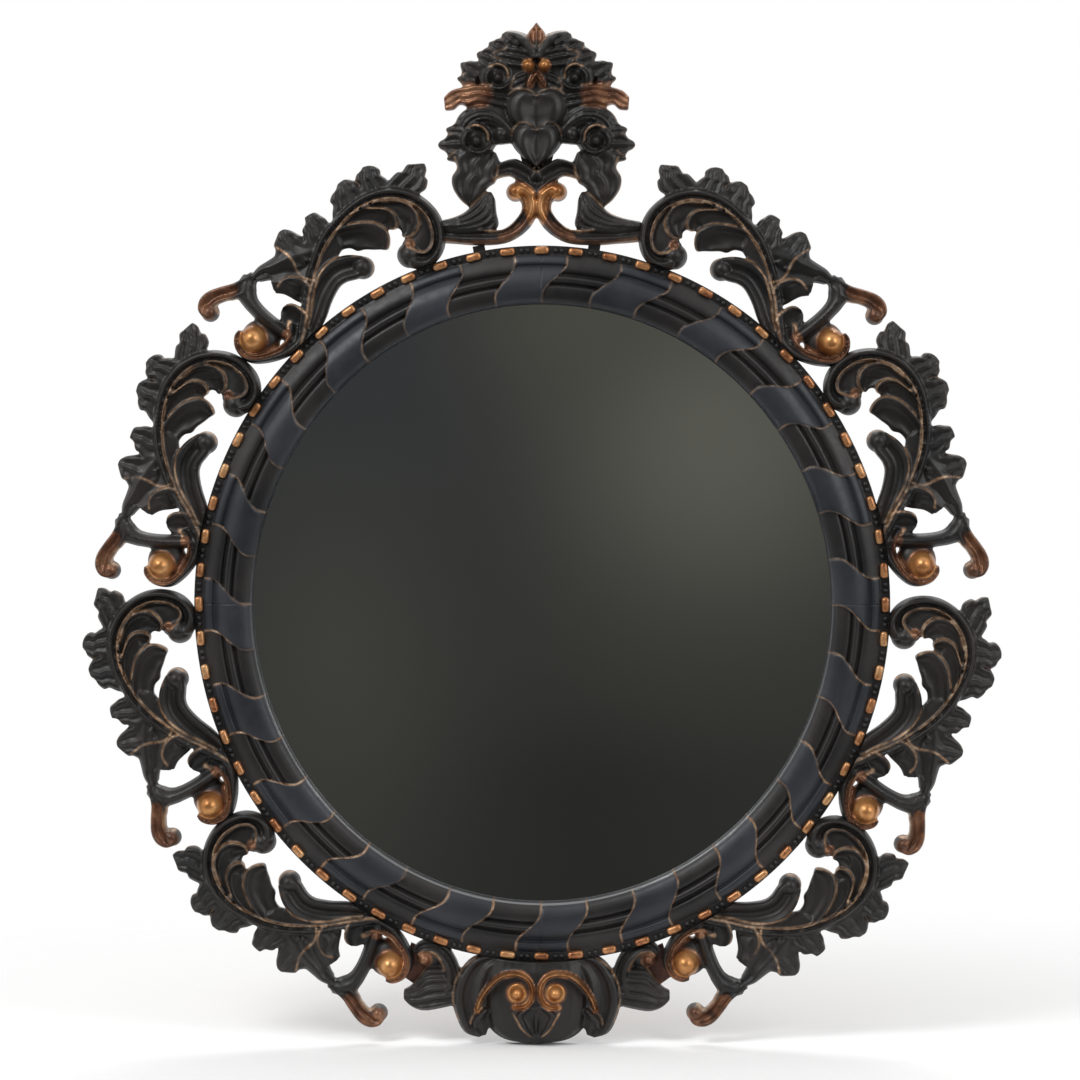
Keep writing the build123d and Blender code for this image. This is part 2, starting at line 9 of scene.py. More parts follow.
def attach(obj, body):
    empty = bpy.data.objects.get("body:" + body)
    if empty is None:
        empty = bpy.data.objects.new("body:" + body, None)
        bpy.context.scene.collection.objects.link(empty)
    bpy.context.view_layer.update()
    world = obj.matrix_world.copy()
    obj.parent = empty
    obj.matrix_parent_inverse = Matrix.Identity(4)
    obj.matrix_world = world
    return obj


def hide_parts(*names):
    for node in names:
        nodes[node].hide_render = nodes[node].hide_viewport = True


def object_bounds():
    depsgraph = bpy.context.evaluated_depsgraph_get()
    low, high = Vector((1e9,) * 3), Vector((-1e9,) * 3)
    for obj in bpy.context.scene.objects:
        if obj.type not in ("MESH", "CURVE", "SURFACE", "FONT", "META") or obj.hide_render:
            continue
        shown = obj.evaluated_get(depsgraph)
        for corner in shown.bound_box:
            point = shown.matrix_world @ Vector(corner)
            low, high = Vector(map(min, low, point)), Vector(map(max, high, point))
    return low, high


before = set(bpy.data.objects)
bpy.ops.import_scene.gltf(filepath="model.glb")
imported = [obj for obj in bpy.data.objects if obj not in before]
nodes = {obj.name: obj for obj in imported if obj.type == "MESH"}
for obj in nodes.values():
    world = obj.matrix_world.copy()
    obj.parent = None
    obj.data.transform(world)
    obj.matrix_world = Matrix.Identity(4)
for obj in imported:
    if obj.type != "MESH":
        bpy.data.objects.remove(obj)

# The oval wall mirror. The glass, the tenons and the hangers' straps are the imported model's own; the ring,
# the carving, the board and the small metalwork are made here on the model's sizes. Carvings are drawn in
# millimetres as they lie on the bench: x to the right, z up, and heights towards the front.
cad_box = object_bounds()
mm = 0.001
dice = random.Random(7)

ring_half_width = 348.5
ring_half_height = 358.5
ring_band = 58.0
land = 6.0
carving_back = 8.0
ledge_height = 14.0
ledge_width = 9.0
ledge_start = ring_band - ledge_width
crest_shift = -5.0
# The crest's and the base's backs lie a hair in front of the scrolls' backs, which they overlap
crest_back = 8.12
# Carvings are pared back to stand this far off the ring's edge
pared = 0.2
# Sizes of the cubes that join a carving's blanks into one solid
scroll_cube = 1.3
crest_cube = 1.35
base_cube = 1.3
rim_step = 0.7
offset = (ring_half_height - ring_half_width) / (2 - sqrt(2))
end_radius = ring_half_height - offset
side_radius = ring_half_width + offset
# The scrolls were drawn for an edge ten times this long
drawn_pitch = 220.6
scale = (end_radius + side_radius) * pi / 10 / drawn_pitch
lower_seat = (30.0, 38.0)
upper_seat = (19.0, 185.0)
left_scrolls = [(43.6, 1.5, 1.5), (80.0, 5.0, 2.4), (116.9, 1.5, 1.5), (152.9, 4.0, 1.5)]
right_scrolls = [(43.9, 3.5, 2.8), (79.7, 6.0, 1.5), (117.8, 6.0, 1.8), (153.6, 8.5, 1.5)]


# The oval
def oval_place(turn, inset=0.0):
    """The edge's point at `turn` degrees of an even circle, clockwise from the top, and its normal."""
    ends = end_radius - inset
    sides = side_radius - inset
    along = (turn % 360) / 90
    count = int(along)
    along = (along - count) * (ends + sides) * pi / 4
    first, second = (ends, sides) if count % 2 == 0 else (sides, ends)
    if along < first * pi / 4:
        angle = along / first
        on_end = count % 2 == 0
    else:
        angle = pi / 4 + (along - first * pi / 4) / second
        on_end = count % 2 == 1
    angle += count * pi / 2
    if on_end:
        return ends * sin(angle), ends * cos(angle) + (offset if cos(angle) > 0 else -offset), angle
    return sides * sin(angle) - (offset if sin(angle) > 0 else -offset), sides * cos(angle), angle


def oval_inset(x, z):
    """How far a point lies inside the ring's edge, and the way out."""
    if abs(z) - offset > abs(x):
        centre, radius = Vector((0, offset if z > 0 else -offset)), end_radius
    else:
        centre, radius = Vector((-offset if x > 0 else offset, 0)), side_radius
    out = Vector((x, z)) - centre
    return radius - out.length, out.normalized()


# Carving tools
def smooth_line(points, count):
    """Places spread evenly along a curve through the points; each point has two or more values."""
    last = len(points) - 1
    steps = 8
    fine = []
    for i in range(last):
        rows = points[max(i - 1, 0)], points[i], points[i + 1], points[min(i + 2, last)]
        for k in range(steps):
            t = k / steps
            row = []
            for a, b, c, d in zip(*rows):
                row.append(b + (c - a) * t / 2 + (a - 2.5 * b + 2 * c - d / 2) * t * t
                           + (1.5 * (b - c) + (d - a) / 2) * t ** 3)
            fine.append(row)
    fine.append(list(points[last]))
    lengths = [0.0]
    for a, b in zip(fine, fine[1:]):
        lengths.append(lengths[-1] + max(hypot(b[0] - a[0], b[1] - a[1]), 1e-6))
    line = []
    j = 0
    for k in range(count):
        goal = lengths[-1] * k / (count - 1)
        while j < len(fine) - 2 and lengths[j + 1] < goal:
            j += 1
        t = (goal - lengths[j]) / (lengths[j + 1] - lengths[j])
        line.append([a + (b - a) * t for a, b in zip(fine[j], fine[j + 1])])
    return line


def value_at(values, share):
    """A value between evenly spaced ones, on a soft curve."""
    if len(values) == 1:
        return values[0]
    place = min(max(share, 0.0), 1.0) * (len(values) - 1)
    i = min(int(place), len(values) - 2)
    t = place - i
    t = t * t * (3 - 2 * t)
    return values[i] + (values[i + 1] - values[i]) * t


roll = [0.40, 0.78, 0.96, 1.0, 0.92, 0.76, 0.66, 0.70, 0.94, 0.82]
scoop = [0.90, 1.0, 0.80, 0.64, 0.56, 0.52, 0.52, 0.56, 0.62, 0.50]
trough = [0.72, 1.0, 0.84, 0.66, 0.60, 0.66, 0.84, 1.0, 0.72]
folded = [0.56, 0.86, 0.84, 0.72, 0.76, 0.96, 0.76, 0.72, 0.84, 0.86, 0.56]
rounded = [0.30, 0.70, 0.90, 1.0, 0.90, 0.70, 0.30]
fluted = [0.40, 0.80, 0.66, 0.94, 0.76, 1.0, 0.76, 0.94, 0.66, 0.80, 0.40]
level = [0.9, 1.0, 0.9]


class Carving:
    """Blanks for one carving, with the lines that wear back to gilt and the places that are gilded."""

    def __init__(self, mirrored=False):
        self.bm = bmesh.new()
        self.side = -1 if mirrored else 1
        self.rims = []
        self.gold = []

    def sheet(self, edge_a, edge_b, section, heights, along=36, across=18):
        """Wood between two edges, flat behind, its front carved to a section."""
        a = smooth_line(edge_a, along + 1)
        b = smooth_line(edge_b, along + 1)
        made = bmesh.ops.create_grid(self.bm, x_segments=along, y_segments=across, size=0.5)["verts"]
        for vert in made:
            s, t = vert.co.x + 0.5, vert.co.y + 0.5
            start, end = a[round(s * along)], b[round(s * along)]
            height = value_at(heights, s) * value_at(section, t)
            x = start[0] + (end[0] - start[0]) * t
            z = start[1] + (end[1] - start[1]) * t
            vert.co = x * self.side, -height, z
        front = list({face for vert in made for face in vert.link_faces})
        back = bmesh.ops.extrude_face_region(self.bm, geom=front)["geom"]
        for vert in back:
            if isinstance(vert, bmesh.types.BMVert):
                vert.co.y = 0

    def strand(self, rows, section, heights, along=36, across=14):
        """A band along a line of (x, z, half width)."""
        line = smooth_line(rows, along + 1)
        edges = [], []
        for i, (x, z, half) in enumerate(line):
            start, end = line[max(i - 1, 0)], line[min(i + 1, along)]
            run, rise = end[0] - start[0], end[1] - start[1]
            length = hypot(run, rise) or 1.0
            edges[0].append((x - rise / length * half, z + run / length * half))
            edges[1].append((x + rise / length * half, z - run / length * half))
        self.sheet(edges[0], edges[1], section, heights, along, across)

    def dome(self, x, z, radius, height, base=0.0, gold=None, wide=1.0):
        """A ball or bud, `height` high over its base."""
        place = Matrix.Translation((x * self.side, -base, z))
        place = place @ Matrix.Diagonal((radius * wide, height - base, radius, 1))
        bmesh.ops.create_uvsphere(self.bm, u_segments=24, v_segments=16, radius=1, matrix=place)
        if gold is not None:
            self.gild(x, z, radius * 1.35, gold)

    def rim(self, points, strength=1.0, width=1.6):
        """A carved edge worn back to gilt."""
        length = sum(hypot(b[0] - a[0], b[1] - a[1]) for a, b in zip(points, points[1:]))
        count = 4 + int(length / rim_step)
        self.rims += [(x * self.side, z, width, strength) for x, z in smooth_line(points, count)]

    def gild(self, x, z, radius, amount):
        """A gilded place: copper at about 0.5, bright gilt at 1."""
        self.gold.append((x * self.side, z, radius, amount))

    def gild_line(self, points, radius, amount):
        for x, z in smooth_line(points, 24):
            self.gild(x, z, radius, amount)


def make_object(name, bm, material, smooth=True):
    mesh = bpy.data.meshes.new(name)
    bm.to_mesh(mesh)
    bm.free()
    mesh.materials.append(material)
    if smooth:
        mesh.shade_smooth()
    made = bpy.data.objects.new(name, mesh)
    bpy.context.scene.collection.objects.link(made)
    return made


def carved_block(name, carvings, voxel):
    """One solid from overlapping blanks, in millimetres, softened as sanding would."""
    joined = bmesh.new()
    for carving in carvings:
        bmesh.ops.recalc_face_normals(carving.bm, faces=carving.bm.faces)
        mesh = bpy.data.meshes.new("blank")
        carving.bm.to_mesh(mesh)
        carving.bm.free()
        joined.from_mesh(mesh)
        bpy.data.meshes.remove(mesh)
    block = make_object(name, joined, ebony)
    remesh = block.modifiers.new("Remesh", "REMESH")
    remesh.mode = "VOXEL"
    remesh.voxel_size = voxel
    ready = block.evaluated_get(bpy.context.evaluated_depsgraph_get())
    bm = bmesh.new()
    bm.from_mesh(ready.to_mesh())
    ready.to_mesh_clear()
    old = block.data
    bpy.data.objects.remove(block)
    bpy.data.meshes.remove(old)
    axes = {f"use_axis_{axis}": True for axis in "xyz"}
    for _ in range(2):
        bmesh.ops.smooth_vert(bm, verts=bm.verts, factor=0.4, **axes)
    mesh = bpy.data.meshes.new(name)
    bm.to_mesh(mesh)
    bm.free()
    return mesh, finish_of(mesh, carvings)


def tree_of(places):
    tree = kdtree.KDTree(max(len(places), 1))
    for i, place in enumerate(places):
        tree.insert((place[0], place[1], 0), i)
    tree.balance()
    return tree


def finish_of(mesh, carvings):
    """For each vertex: how worn to gilt it is, how gilded, and its paint; the sides' low wood stays plain."""
    plain_below = 3
    lines = [line for carving in carvings for line in carving.rims]
    places = [place for carving in carvings for place in carving.gold]
    line_tree, place_tree = tree_of(lines), tree_of(places)
    reach = max(place[2] for place in places)
    values = []
    for vert in mesh.vertices:
        x, y, z = vert.co
        worn, gilded = 0.0, 0.0
        if y < -plain_below:
            _, i, distance = line_tree.find((x, z, 0))
            width, strength = lines[i][2:]
            worn = strength * max(0.0, 1.0 - distance / width)
            for _, i, distance in place_tree.find_range((x, z, 0), reach):
                radius, amount = places[i][2:]
                if distance < radius:
                    fall = min(1.0, (radius - distance) / (0.45 * radius))
                    gilded = max(gilded, amount * fall * fall * (3 - 2 * fall))
        values += [worn, gilded, 0.0]
    return values


def give_finish(mesh, values):
    mesh.attributes.new("finish", "FLOAT_VECTOR", "POINT").data.foreach_set("vector", values)


# Materials
def new_material(name):
    material = bpy.data.materials.new(name)
    material.use_nodes = True
    tree = material.node_tree
    return material, tree, tree.nodes["Principled BSDF"]


def noise_node(tree, coords, size, detail=4.0, stretch=None):
    texture = tree.nodes.new("ShaderNodeTexNoise")
    texture.inputs["Scale"].default_value = size
    texture.inputs["Detail"].default_value = detail
    source = coords.outputs["Object"]
    if stretch:
        mapping = tree.nodes.new("ShaderNodeMapping")
        mapping.inputs["Scale"].default_value = stretch
        tree.links.new(source, mapping.inputs["Vector"])
        source = mapping.outputs["Vector"]
    tree.links.new(source, texture.inputs["Vector"])
    return texture.outputs["Fac"]


def ramp_node(tree, source, stops):
    ramp = tree.nodes.new("ShaderNodeValToRGB")
    elements = ramp.color_ramp.elements
    while len(elements) < len(stops):
        elements.new(0.5)
    for element, (place, color) in zip(elements, stops):
        element.position = place
        element.color = (*color, 1) if len(color) == 3 else color
    tree.links.new(source, ramp.inputs["Fac"])
    return ramp.outputs["Color"]


def math_node(tree, operation, a, b=0.0, c=0.0, clamp=False):
    node = tree.nodes.new("ShaderNodeMath")
    node.operation = operation
    node.use_clamp = clamp
    for socket, value in zip(node.inputs, (a, b, c)):
        if isinstance(value, (int, float)):
            socket.default_value = value
        else:
            tree.links.new(value, socket)
    return node.outputs["Value"]


def mix_colors(tree, factor, a, b):
    mix = tree.nodes.new("ShaderNodeMix")
    mix.data_type = "RGBA"
    for key, value in ((0, factor), (6, a), (7, b)):
        socket = mix.inputs[key]
        if isinstance(value, tuple):
            socket.default_value = (*value, 1)
        elif isinstance(value, float):
            socket.default_value = value
        else:
            tree.links.new(value, socket)
    return mix.outputs[2]


def bump_node(tree, height, strength, distance):
    bump = tree.nodes.new("ShaderNodeBump")
    bump.inputs["Strength"].default_value = strength
    bump.inputs["Distance"].default_value = distance
    tree.links.new(height, bump.inputs["Height"])
    return bump.outputs["Normal"]


def ebony_finish():
    """Satin black over red clay, worn to bronze along the carved edges, with gilded places and a pale
    highlight painted along the ring's sight edge.
    """
    material, tree, shader = new_material("ebonised_and_gilt")
    coords = tree.nodes.new("ShaderNodeTexCoord")
    attribute = tree.nodes.new("ShaderNodeAttribute")
    attribute.attribute_name = "finish"
    parts = tree.nodes.new("ShaderNodeSeparateXYZ")
    tree.links.new(attribute.outputs["Vector"], parts.inputs["Vector"])
    worn, gilded, ribbon_share_and_highlight = parts.outputs["X"], parts.outputs["Y"], parts.outputs["Z"]
    broad = noise_node(tree, coords, 14.0, 5.0)
    fine = noise_node(tree, coords, 160.0, 6.0)
    speck = noise_node(tree, coords, 55.0, 3.0)
    brown = ramp_node(tree, broad, [(0.30, (0.0065, 0.0061, 0.0060)), (0.72, (0.021, 0.0175, 0.0155))])
    blue = ramp_node(tree, broad, [(0.30, (0.0125, 0.0140, 0.0185)), (0.72, (0.030, 0.033, 0.042))])
    paint_and_highlight = mix_colors(tree, math_node(tree, "MULTIPLY", ribbon_share_and_highlight, 1.0, clamp=True), brown, blue)
    # Where the third finish value passes 1, a pale grey line is painted along the ring's sight edge as a
    # highlight
    painted_edge_highlight = math_node(tree, "SUBTRACT", ribbon_share_and_highlight, 1.0, clamp=True)
    paint_and_highlight = mix_colors(tree, painted_edge_highlight, paint_and_highlight, (0.30, 0.30, 0.29))
    # Wear along the rims, broken by the speckle
    grain = math_node(tree, "MULTIPLY_ADD", speck, 2.8, -0.75)
    wear = math_node(tree, "MULTIPLY", worn, grain, clamp=True)
    wear = math_node(tree, "MULTIPLY", wear, 1.7, clamp=True)
    bronze = ramp_node(tree, fine, [(0.32, (0.15, 0.078, 0.042)), (0.56, (0.37, 0.235, 0.145)),
                                                (0.76, (0.56, 0.44, 0.32))])
    color = mix_colors(tree, wear, paint_and_highlight, bronze)
    copper = ramp_node(tree, speck, [(0.30, (0.070, 0.030, 0.018)), (0.52, (0.22, 0.098, 0.052)),
                                                  (0.75, (0.40, 0.21, 0.120))])
    bright = ramp_node(tree, speck, [(0.30, (0.26, 0.095, 0.030)), (0.52, (0.50, 0.225, 0.075)),
                                                  (0.75, (0.70, 0.38, 0.160))])
    rich = math_node(tree, "MULTIPLY_ADD", gilded, 4.0, -2.5, clamp=True)
    gilding = mix_colors(tree, rich, copper, bright)
    patches = math_node(tree, "MULTIPLY_ADD", fine, 1.6, -0.8)
    gold = math_node(tree, "MULTIPLY_ADD", gilded, 1.5, patches)
    gold = math_node(tree, "MULTIPLY", gold, math_node(tree, "MULTIPLY", gilded, 2.4, clamp=True),
                     clamp=True)
    color = mix_colors(tree, gold, color, gilding)
    tree.links.new(color, shader.inputs["Base Color"])
    shader.inputs["Specular IOR Level"].default_value = 0.42
    metal = math_node(tree, "MULTIPLY", math_node(tree, "MAXIMUM", gold, wear), 0.62)
    tree.links.new(metal, shader.inputs["Metallic"])
    rough = math_node(tree, "MULTIPLY_ADD", fine, 0.30, 0.30)
    rough = math_node(tree, "MULTIPLY_ADD", gold, -0.10, rough)
    tree.links.new(rough, shader.inputs["Roughness"])
    tree.links.new(bump_node(tree, fine, 0.22, 0.0006), shader.inputs["Normal"])
    return material


def gilt_finish():
    """Burnished gilding rubbed through to its copper-red ground."""
    material, tree, shader = new_material("rubbed_gilding")
    coords = tree.nodes.new("ShaderNodeTexCoord")
    broad = noise_node(tree, coords, 26.0, 3.0)
    fine = noise_node(tree, coords, 240.0, 5.0)
    blend = math_node(tree, "MULTIPLY_ADD", fine, 0.45, math_node(tree, "MULTIPLY", broad, 0.6))
    color = ramp_node(tree, blend, [(0.30, (0.085, 0.031, 0.017)), (0.42, (0.34, 0.130, 0.055)),
                                                (0.55, (0.57, 0.265, 0.110)), (0.70, (0.76, 0.46, 0.23))])
    tree.links.new(color, shader.inputs["Base Color"])
    shader.inputs["Metallic"].default_value = 0.62
    tree.links.new(math_node(tree, "MULTIPLY_ADD", fine, 0.35, 0.18), shader.inputs["Roughness"])
    tree.links.new(bump_node(tree, fine, 0.25, 0.0004), shader.inputs["Normal"])
    return material


def plain_wood(name, dark, light, size, rough, stretch):
    """Bare or stained wood, its grain along the stretched direction."""
    material, tree, shader = new_material(name)
    coords = tree.nodes.new("ShaderNodeTexCoord")
    grain = noise_node(tree, coords, size, 8.0, stretch)
    tree.links.new(ramp_node(tree, grain, [(0.32, dark), (0.68, light)]), shader.inputs["Base Color"])
    tree.links.new(math_node(tree, "MULTIPLY_ADD", grain, 0.2, rough), shader.inputs["Roughness"])
    tree.links.new(bump_node(tree, grain, 0.3, 0.0005), shader.inputs["Normal"])
    return material


def steel_finish():
    material, tree, shader = new_material("zinc_plate")
    coords = tree.nodes.new("ShaderNodeTexCoord")
    cloud = noise_node(tree, coords, 300.0, 3.0)
    tree.links.new(ramp_node(tree, cloud, [(0.3, (0.42, 0.42, 0.41)), (0.7, (0.62, 0.62, 0.60))]),
              shader.inputs["Base Color"])
    shader.inputs["Metallic"].default_value = 1.0
    tree.links.new(math_node(tree, "MULTIPLY_ADD", cloud, 0.25, 0.22), shader.inputs["Roughness"])
    return material


def silvered_finish():
    """Silvered plate with the faintest unevenness."""
    material, tree, shader = new_material("silvered_plate")
    coords = tree.nodes.new("ShaderNodeTexCoord")
    haze = noise_node(tree, coords, 3.0, 2.0)
    tree.links.new(ramp_node(tree, haze, [(0.3, (0.86, 0.88, 0.87)), (0.7, (0.93, 0.94, 0.93))]),
              shader.inputs["Base Color"])
    shader.inputs["Metallic"].default_value = 1.0
    tree.links.new(math_node(tree, "MULTIPLY_ADD", haze, 0.03, 0.035), shader.inputs["Roughness"])
    return material


ebony = ebony_finish()
gilt = gilt_finish()
steel = steel_finish()
silvered = silvered_finish()
plywood = plain_wood("plywood_back", (0.33, 0.215, 0.115), (0.50, 0.355, 0.205), 22.0, 0.6, (0.6, 1, 9))
beech = plain_wood("raw_beech", (0.42, 0.27, 0.15), (0.60, 0.43, 0.27), 30.0, 0.6, (6, 6, 1))
stained = plain_wood("stained_block", (0.050, 0.020, 0.014), (0.15, 0.062, 0.040), 40.0, 0.7, (1, 4, 4))


# Scroll: drawn for the left side about its gilt ball, with the ring towards +x
def carve_scroll():
    block = Carving()
    stem_out = [(12, 172), (20, 182), (20, 192), (15, 205), (5, 215), (-10, 221), (-25, 222), (-40, 218),
                (-52, 211), (-62, 201), (-69, 190), (-73, 176), (-74, 160), (-71, 142), (-66, 124),
                (-58, 108), (-47, 94), (-34, 80), (-18, 66), (0, 54), (14, 44)]
    stem_in = [(-8, 180), (-1, 184), (5, 191), (4, 199), (-4, 206), (-14, 209), (-24, 210), (-38, 206),
               (-49, 198), (-57, 188), (-62, 175), (-64, 158), (-61, 141), (-56, 127), (-49, 112), (-40, 99),
               (-28, 86), (-12, 71), (4, 60), (17, 50), (27, 41)]
    block.sheet(stem_out, stem_in, roll, [25, 25, 24, 23, 22, 21, 20, 20, 21], 110, 20)
    block.rim(stem_in, 0.85, 1.8)
    block.dome(0, 177, 13, 26)
    block.dome(-9, 181, 6, 25)
    block.gild(-9, 183, 7, 0.5)
    # Low ground that joins the lobes behind
    block.sheet([(-62, 120), (-66, 140), (-68, 160), (-62, 182), (-50, 200), (-34, 208), (-16, 209),
                 (-2, 206), (6, 196), (4, 184)],
                [(-50, 122), (-46, 140), (-42, 156), (-40, 168), (-42, 180), (-34, 190), (-24, 194),
                 (-20, 190), (-17, 184), (-13, 176)], level, [13, 13, 13, 15, 17], 50, 12)
    block.sheet([(-64, 126), (-56, 112), (-46, 98), (-34, 86)],
                [(-37, 121), (-31, 110), (-26, 98), (-18, 86)], level, [13, 14, 15], 20, 10)
    # Inner lobes, each from the stem's rim to its tip
    block.sheet([(-62, 160), (-59, 178), (-50, 195), (-38, 203), (-25, 202), (-17, 194), (-15, 186),
                 (-18, 180)],
                [(-62, 152), (-60, 166), (-54, 177), (-44, 182), (-35, 181), (-29, 180), (-24, 181),
                 (-20, 179)], scoop, [22, 21, 20, 20, 19])
    block.rim([(-59, 178), (-50, 195), (-38, 203), (-25, 202), (-17, 194), (-15, 186), (-18, 180)], 0.9)
    block.sheet([(-62, 146), (-60, 162), (-52, 177), (-43, 183), (-34, 182), (-29, 177), (-31, 172)],
                [(-60, 140), (-57, 150), (-51, 158), (-44, 162), (-38, 165), (-34, 168), (-32, 171)],
                scoop, [21, 20, 19, 18, 17])
    block.rim([(-60, 162), (-52, 177), (-43, 183), (-34, 182), (-29, 177), (-31, 172)], 1.0)
    block.sheet([(-56, 122), (-55, 138), (-49, 154), (-41, 164), (-31, 169), (-22, 167), (-15, 161),
                 (-17, 156)],
                [(-48, 106), (-41, 110), (-37, 119), (-34, 128), (-28, 133), (-26, 140), (-22, 147),
                 (-18, 155)], scoop, [20, 19, 19, 18, 16])
    block.rim([(-55, 138), (-49, 154), (-41, 164), (-31, 169), (-22, 167), (-15, 161)], 1.0)
    # The club lobe that runs down into the stem
    block.strand([(-13, 134, 8), (-15, 124, 12), (-19, 110, 13), (-17, 96, 13), (-7, 80, 13), (8, 66, 11),
                  (20, 52, 8), (27, 40, 5)], trough, [19, 21, 20, 19, 19, 20, 20, 20], 60)
    block.dome(-11, 130, 11.5, 22)
    block.rim([(-31, 118), (-31, 104), (-25, 90), (-12, 76), (4, 64), (16, 54)], 1.0)
    block.rim([(-26, 126), (-20, 137), (-9, 141), (0, 134)], 1.0)
    # Branch leaf, down to the pierced hole
    block.sheet([(-56, 104), (-62, 90), (-65, 76), (-63, 62), (-62, 50), (-61, 38), (-56, 26)],
                [(-20, 80), (-14, 66), (-15, 56), (-24, 52), (-33, 41), (-42, 45), (-47, 33)],
                [0.45, 0.82, 0.96, 0.82, 0.70, 0.84, 0.96, 0.80, 0.55], [16, 17, 18, 17, 16, 16], 50, 22)
    block.rim([(-69, 64), (-58, 70), (-48, 72), (-38, 71), (-29, 74), (-22, 82)], 0.9)
    block.sheet([(-14, 74), (-25, 74), (-34, 67), (-38, 57), (-35, 49), (-31, 42)],
                [(-2, 64), (-8, 60), (-13, 56), (-18, 53), (-25, 48), (-30, 41)], scoop, [20, 19, 18, 16])
    block.rim([(-18, 76), (-27, 73), (-35, 66), (-38, 56), (-34, 47)], 0.8)
    block.sheet([(8, 60), (-1, 58), (-9, 55), (-14, 49), (-14, 41)],
                [(24, 44), (14, 38), (6, 34), (-2, 33), (-11, 37)], scoop, [20, 19, 17, 15])
    block.rim([(6, 60), (-3, 57), (-11, 53), (-15, 44)], 0.8)
    # Volute round the ball
    block.sheet([(22, 56), (29, 46), (32, 32), (31, 16), (27, 0), (20, -13), (10, -19), (-2, -20), (-12, -15),
                 (-15, -8)],
                [(4, 40), (13, 34), (18, 24), (19, 12), (17, 0), (13, -8), (7, -12), (-1, -13), (-8, -10),
                 (-12, -6)], roll, [20, 21, 21, 20, 19, 18], 60, 18)
    block.rim([(2, 40), (12, 33), (18, 23), (19, 11), (17, 0), (12, -9), (6, -14), (-1, -15), (-9, -12)],
              1.4, 2.8)
    block.gild_line([(12, 33), (18, 23), (19, 11), (17, 0), (12, -9), (4, -15), (-8, -14)], 6.5, 0.56)
    block.dome(3, 6, 20, 13)
    block.dome(0, 0, 14.0, 28, 4, gold=1.0)
    # Outer leaves
    leaves = [
        ([(-44, 206), (-49, 214), (-50, 222), (-57, 228), (-61, 227), (-67, 232), (-73, 233)],
         [(-70, 184), (-75, 195), (-78, 205), (-76, 209), (-80, 217), (-78, 222), (-75, 229)]),
        ([(-58, 198), (-68, 194), (-78, 192), (-84, 189), (-88, 191), (-94, 188), (-97.5, 183)],
         [(-68, 164), (-78, 164), (-86, 166), (-90, 164), (-95, 168), (-96, 172), (-99, 177)]),
        ([(-64, 174), (-76, 170), (-83, 166), (-88, 165), (-94, 160), (-97, 155)],
         [(-60, 124), (-71, 128), (-79, 133), (-84, 132), (-89, 137), (-91, 142), (-96, 147)]),
        ([(-58, 128), (-64, 122), (-72, 120), (-77, 117), (-82, 114), (-83, 108)],
         [(-44, 90), (-57, 88), (-66, 93), (-72, 94), (-76, 100), (-82, 102)]),
        ([(-44, 100), (-57, 94), (-67, 91), (-72, 88), (-78, 84), (-82, 79)],
         [(-40, 70), (-52, 60), (-61, 58), (-68, 62), (-72, 62), (-77, 67), (-82, 73)]),
    ]
    for upper, lower in leaves:
        block.sheet(upper, lower, folded, [18, 17, 16, 14, 10], 30, 22)
        block.rim(upper[2:], 0.25, 1.3)
        block.rim(lower[3:], 0.3, 1.3)
    # The arm under the hole and the bronze hook
    block.strand([(-57, 27, 7), (-47, 17, 10.5), (-36, 15, 8.5), (-26, 16.5, 7.5), (-14, 20, 7.5),
                  (-2, 25, 7.5), (10, 31, 7), (20, 35, 6)], rounded, [15, 17, 17, 17, 17, 17], 50)
    block.sheet([(-60, 30), (-58, 12), (-61, -3), (-63, -17), (-60, -28), (-52, -34.5), (-44, -34)],
                [(-45, 26), (-43, 5), (-46, -5), (-47, -14), (-46, -19), (-44, -23), (-42, -27)],
                trough, [15, 17, 17, 16, 15], 50)
    block.dome(-44, -25.5, 9.3, 18)
    block.rim([(-42, 5), (-46, -5), (-47, -14), (-45, -18), (-39, -18)], 1.1, 2.4)
    block.gild_line([(-54, 4), (-55, -8), (-56, -18), (-52, -27), (-44, -27)], 10, 0.50)
    return carved_block("scroll", [block], scroll_cube)


def seat_of(row):
    """Where a left scroll's own frame lies: its two seats are let into the ring's edge."""
    turn, lower_inset, upper_inset = row
    reach = hypot(upper_seat[0] - lower_seat[0], upper_seat[1] - lower_seat[1]) * scale
    x0, z0, _ = oval_place(-turn, lower_inset)
    low, high = 0.0, 60.0
    for _ in range(40):
        middle = (low + high) / 2
        x1, z1, _ = oval_place(middle - turn, upper_inset)
        if hypot(x1 - x0, z1 - z0) < reach:
            low = middle
        else:
            high = middle
    drawn = atan2(upper_seat[0] - lower_seat[0], upper_seat[1] - lower_seat[1])
    turned = atan2(x1 - x0, z1 - z0) - drawn
    start = Matrix.Translation((-lower_seat[0] * scale, 0, -lower_seat[1] * scale))
    sized = Matrix.Diagonal((scale, 1, scale, 1))
    return Matrix.Translation((x0, 0, z0)) @ Matrix.Rotation(turned, 4, "Y") @ start @ sized


def settle(mesh, place, mirrored, back=carving_back):
    """Brings a carving to its place in metres, pared back to the ring's edge."""
    bm = bmesh.new()
    bm.from_mesh(mesh)
    for vert in bm.verts:
        x, y, z = place @ vert.co
        if mirrored:
            x = -x
        inset, out = oval_inset(x, z)
        if inset > -pared:
            x += out.x * (inset + pared)
            z += out.y * (inset + pared)
        vert.co = x * mm, min(y - carving_back, -back) * mm, z * mm
    if mirrored:
        bmesh.ops.reverse_faces(bm, faces=bm.faces)
    return bm


def add_piece(made, body, *replaced, slot):
    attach(made, body)
    if replaced:
        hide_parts(*replaced)


scroll_mesh, scroll_finish = carve_scroll()
for side, rows in (("left", left_scrolls), ("right", right_scrolls)):
    for number, row in enumerate(rows, 1):
        bm = settle(scroll_mesh, seat_of(row), side == "right")
        piece = make_object(f"carved_scroll_{side}_{number}", bm, ebony)
        give_finish(piece.data, scroll_finish)
        add_piece(piece, "frame", f"scroll_{side}_{number}", slot="ebonised_wood")


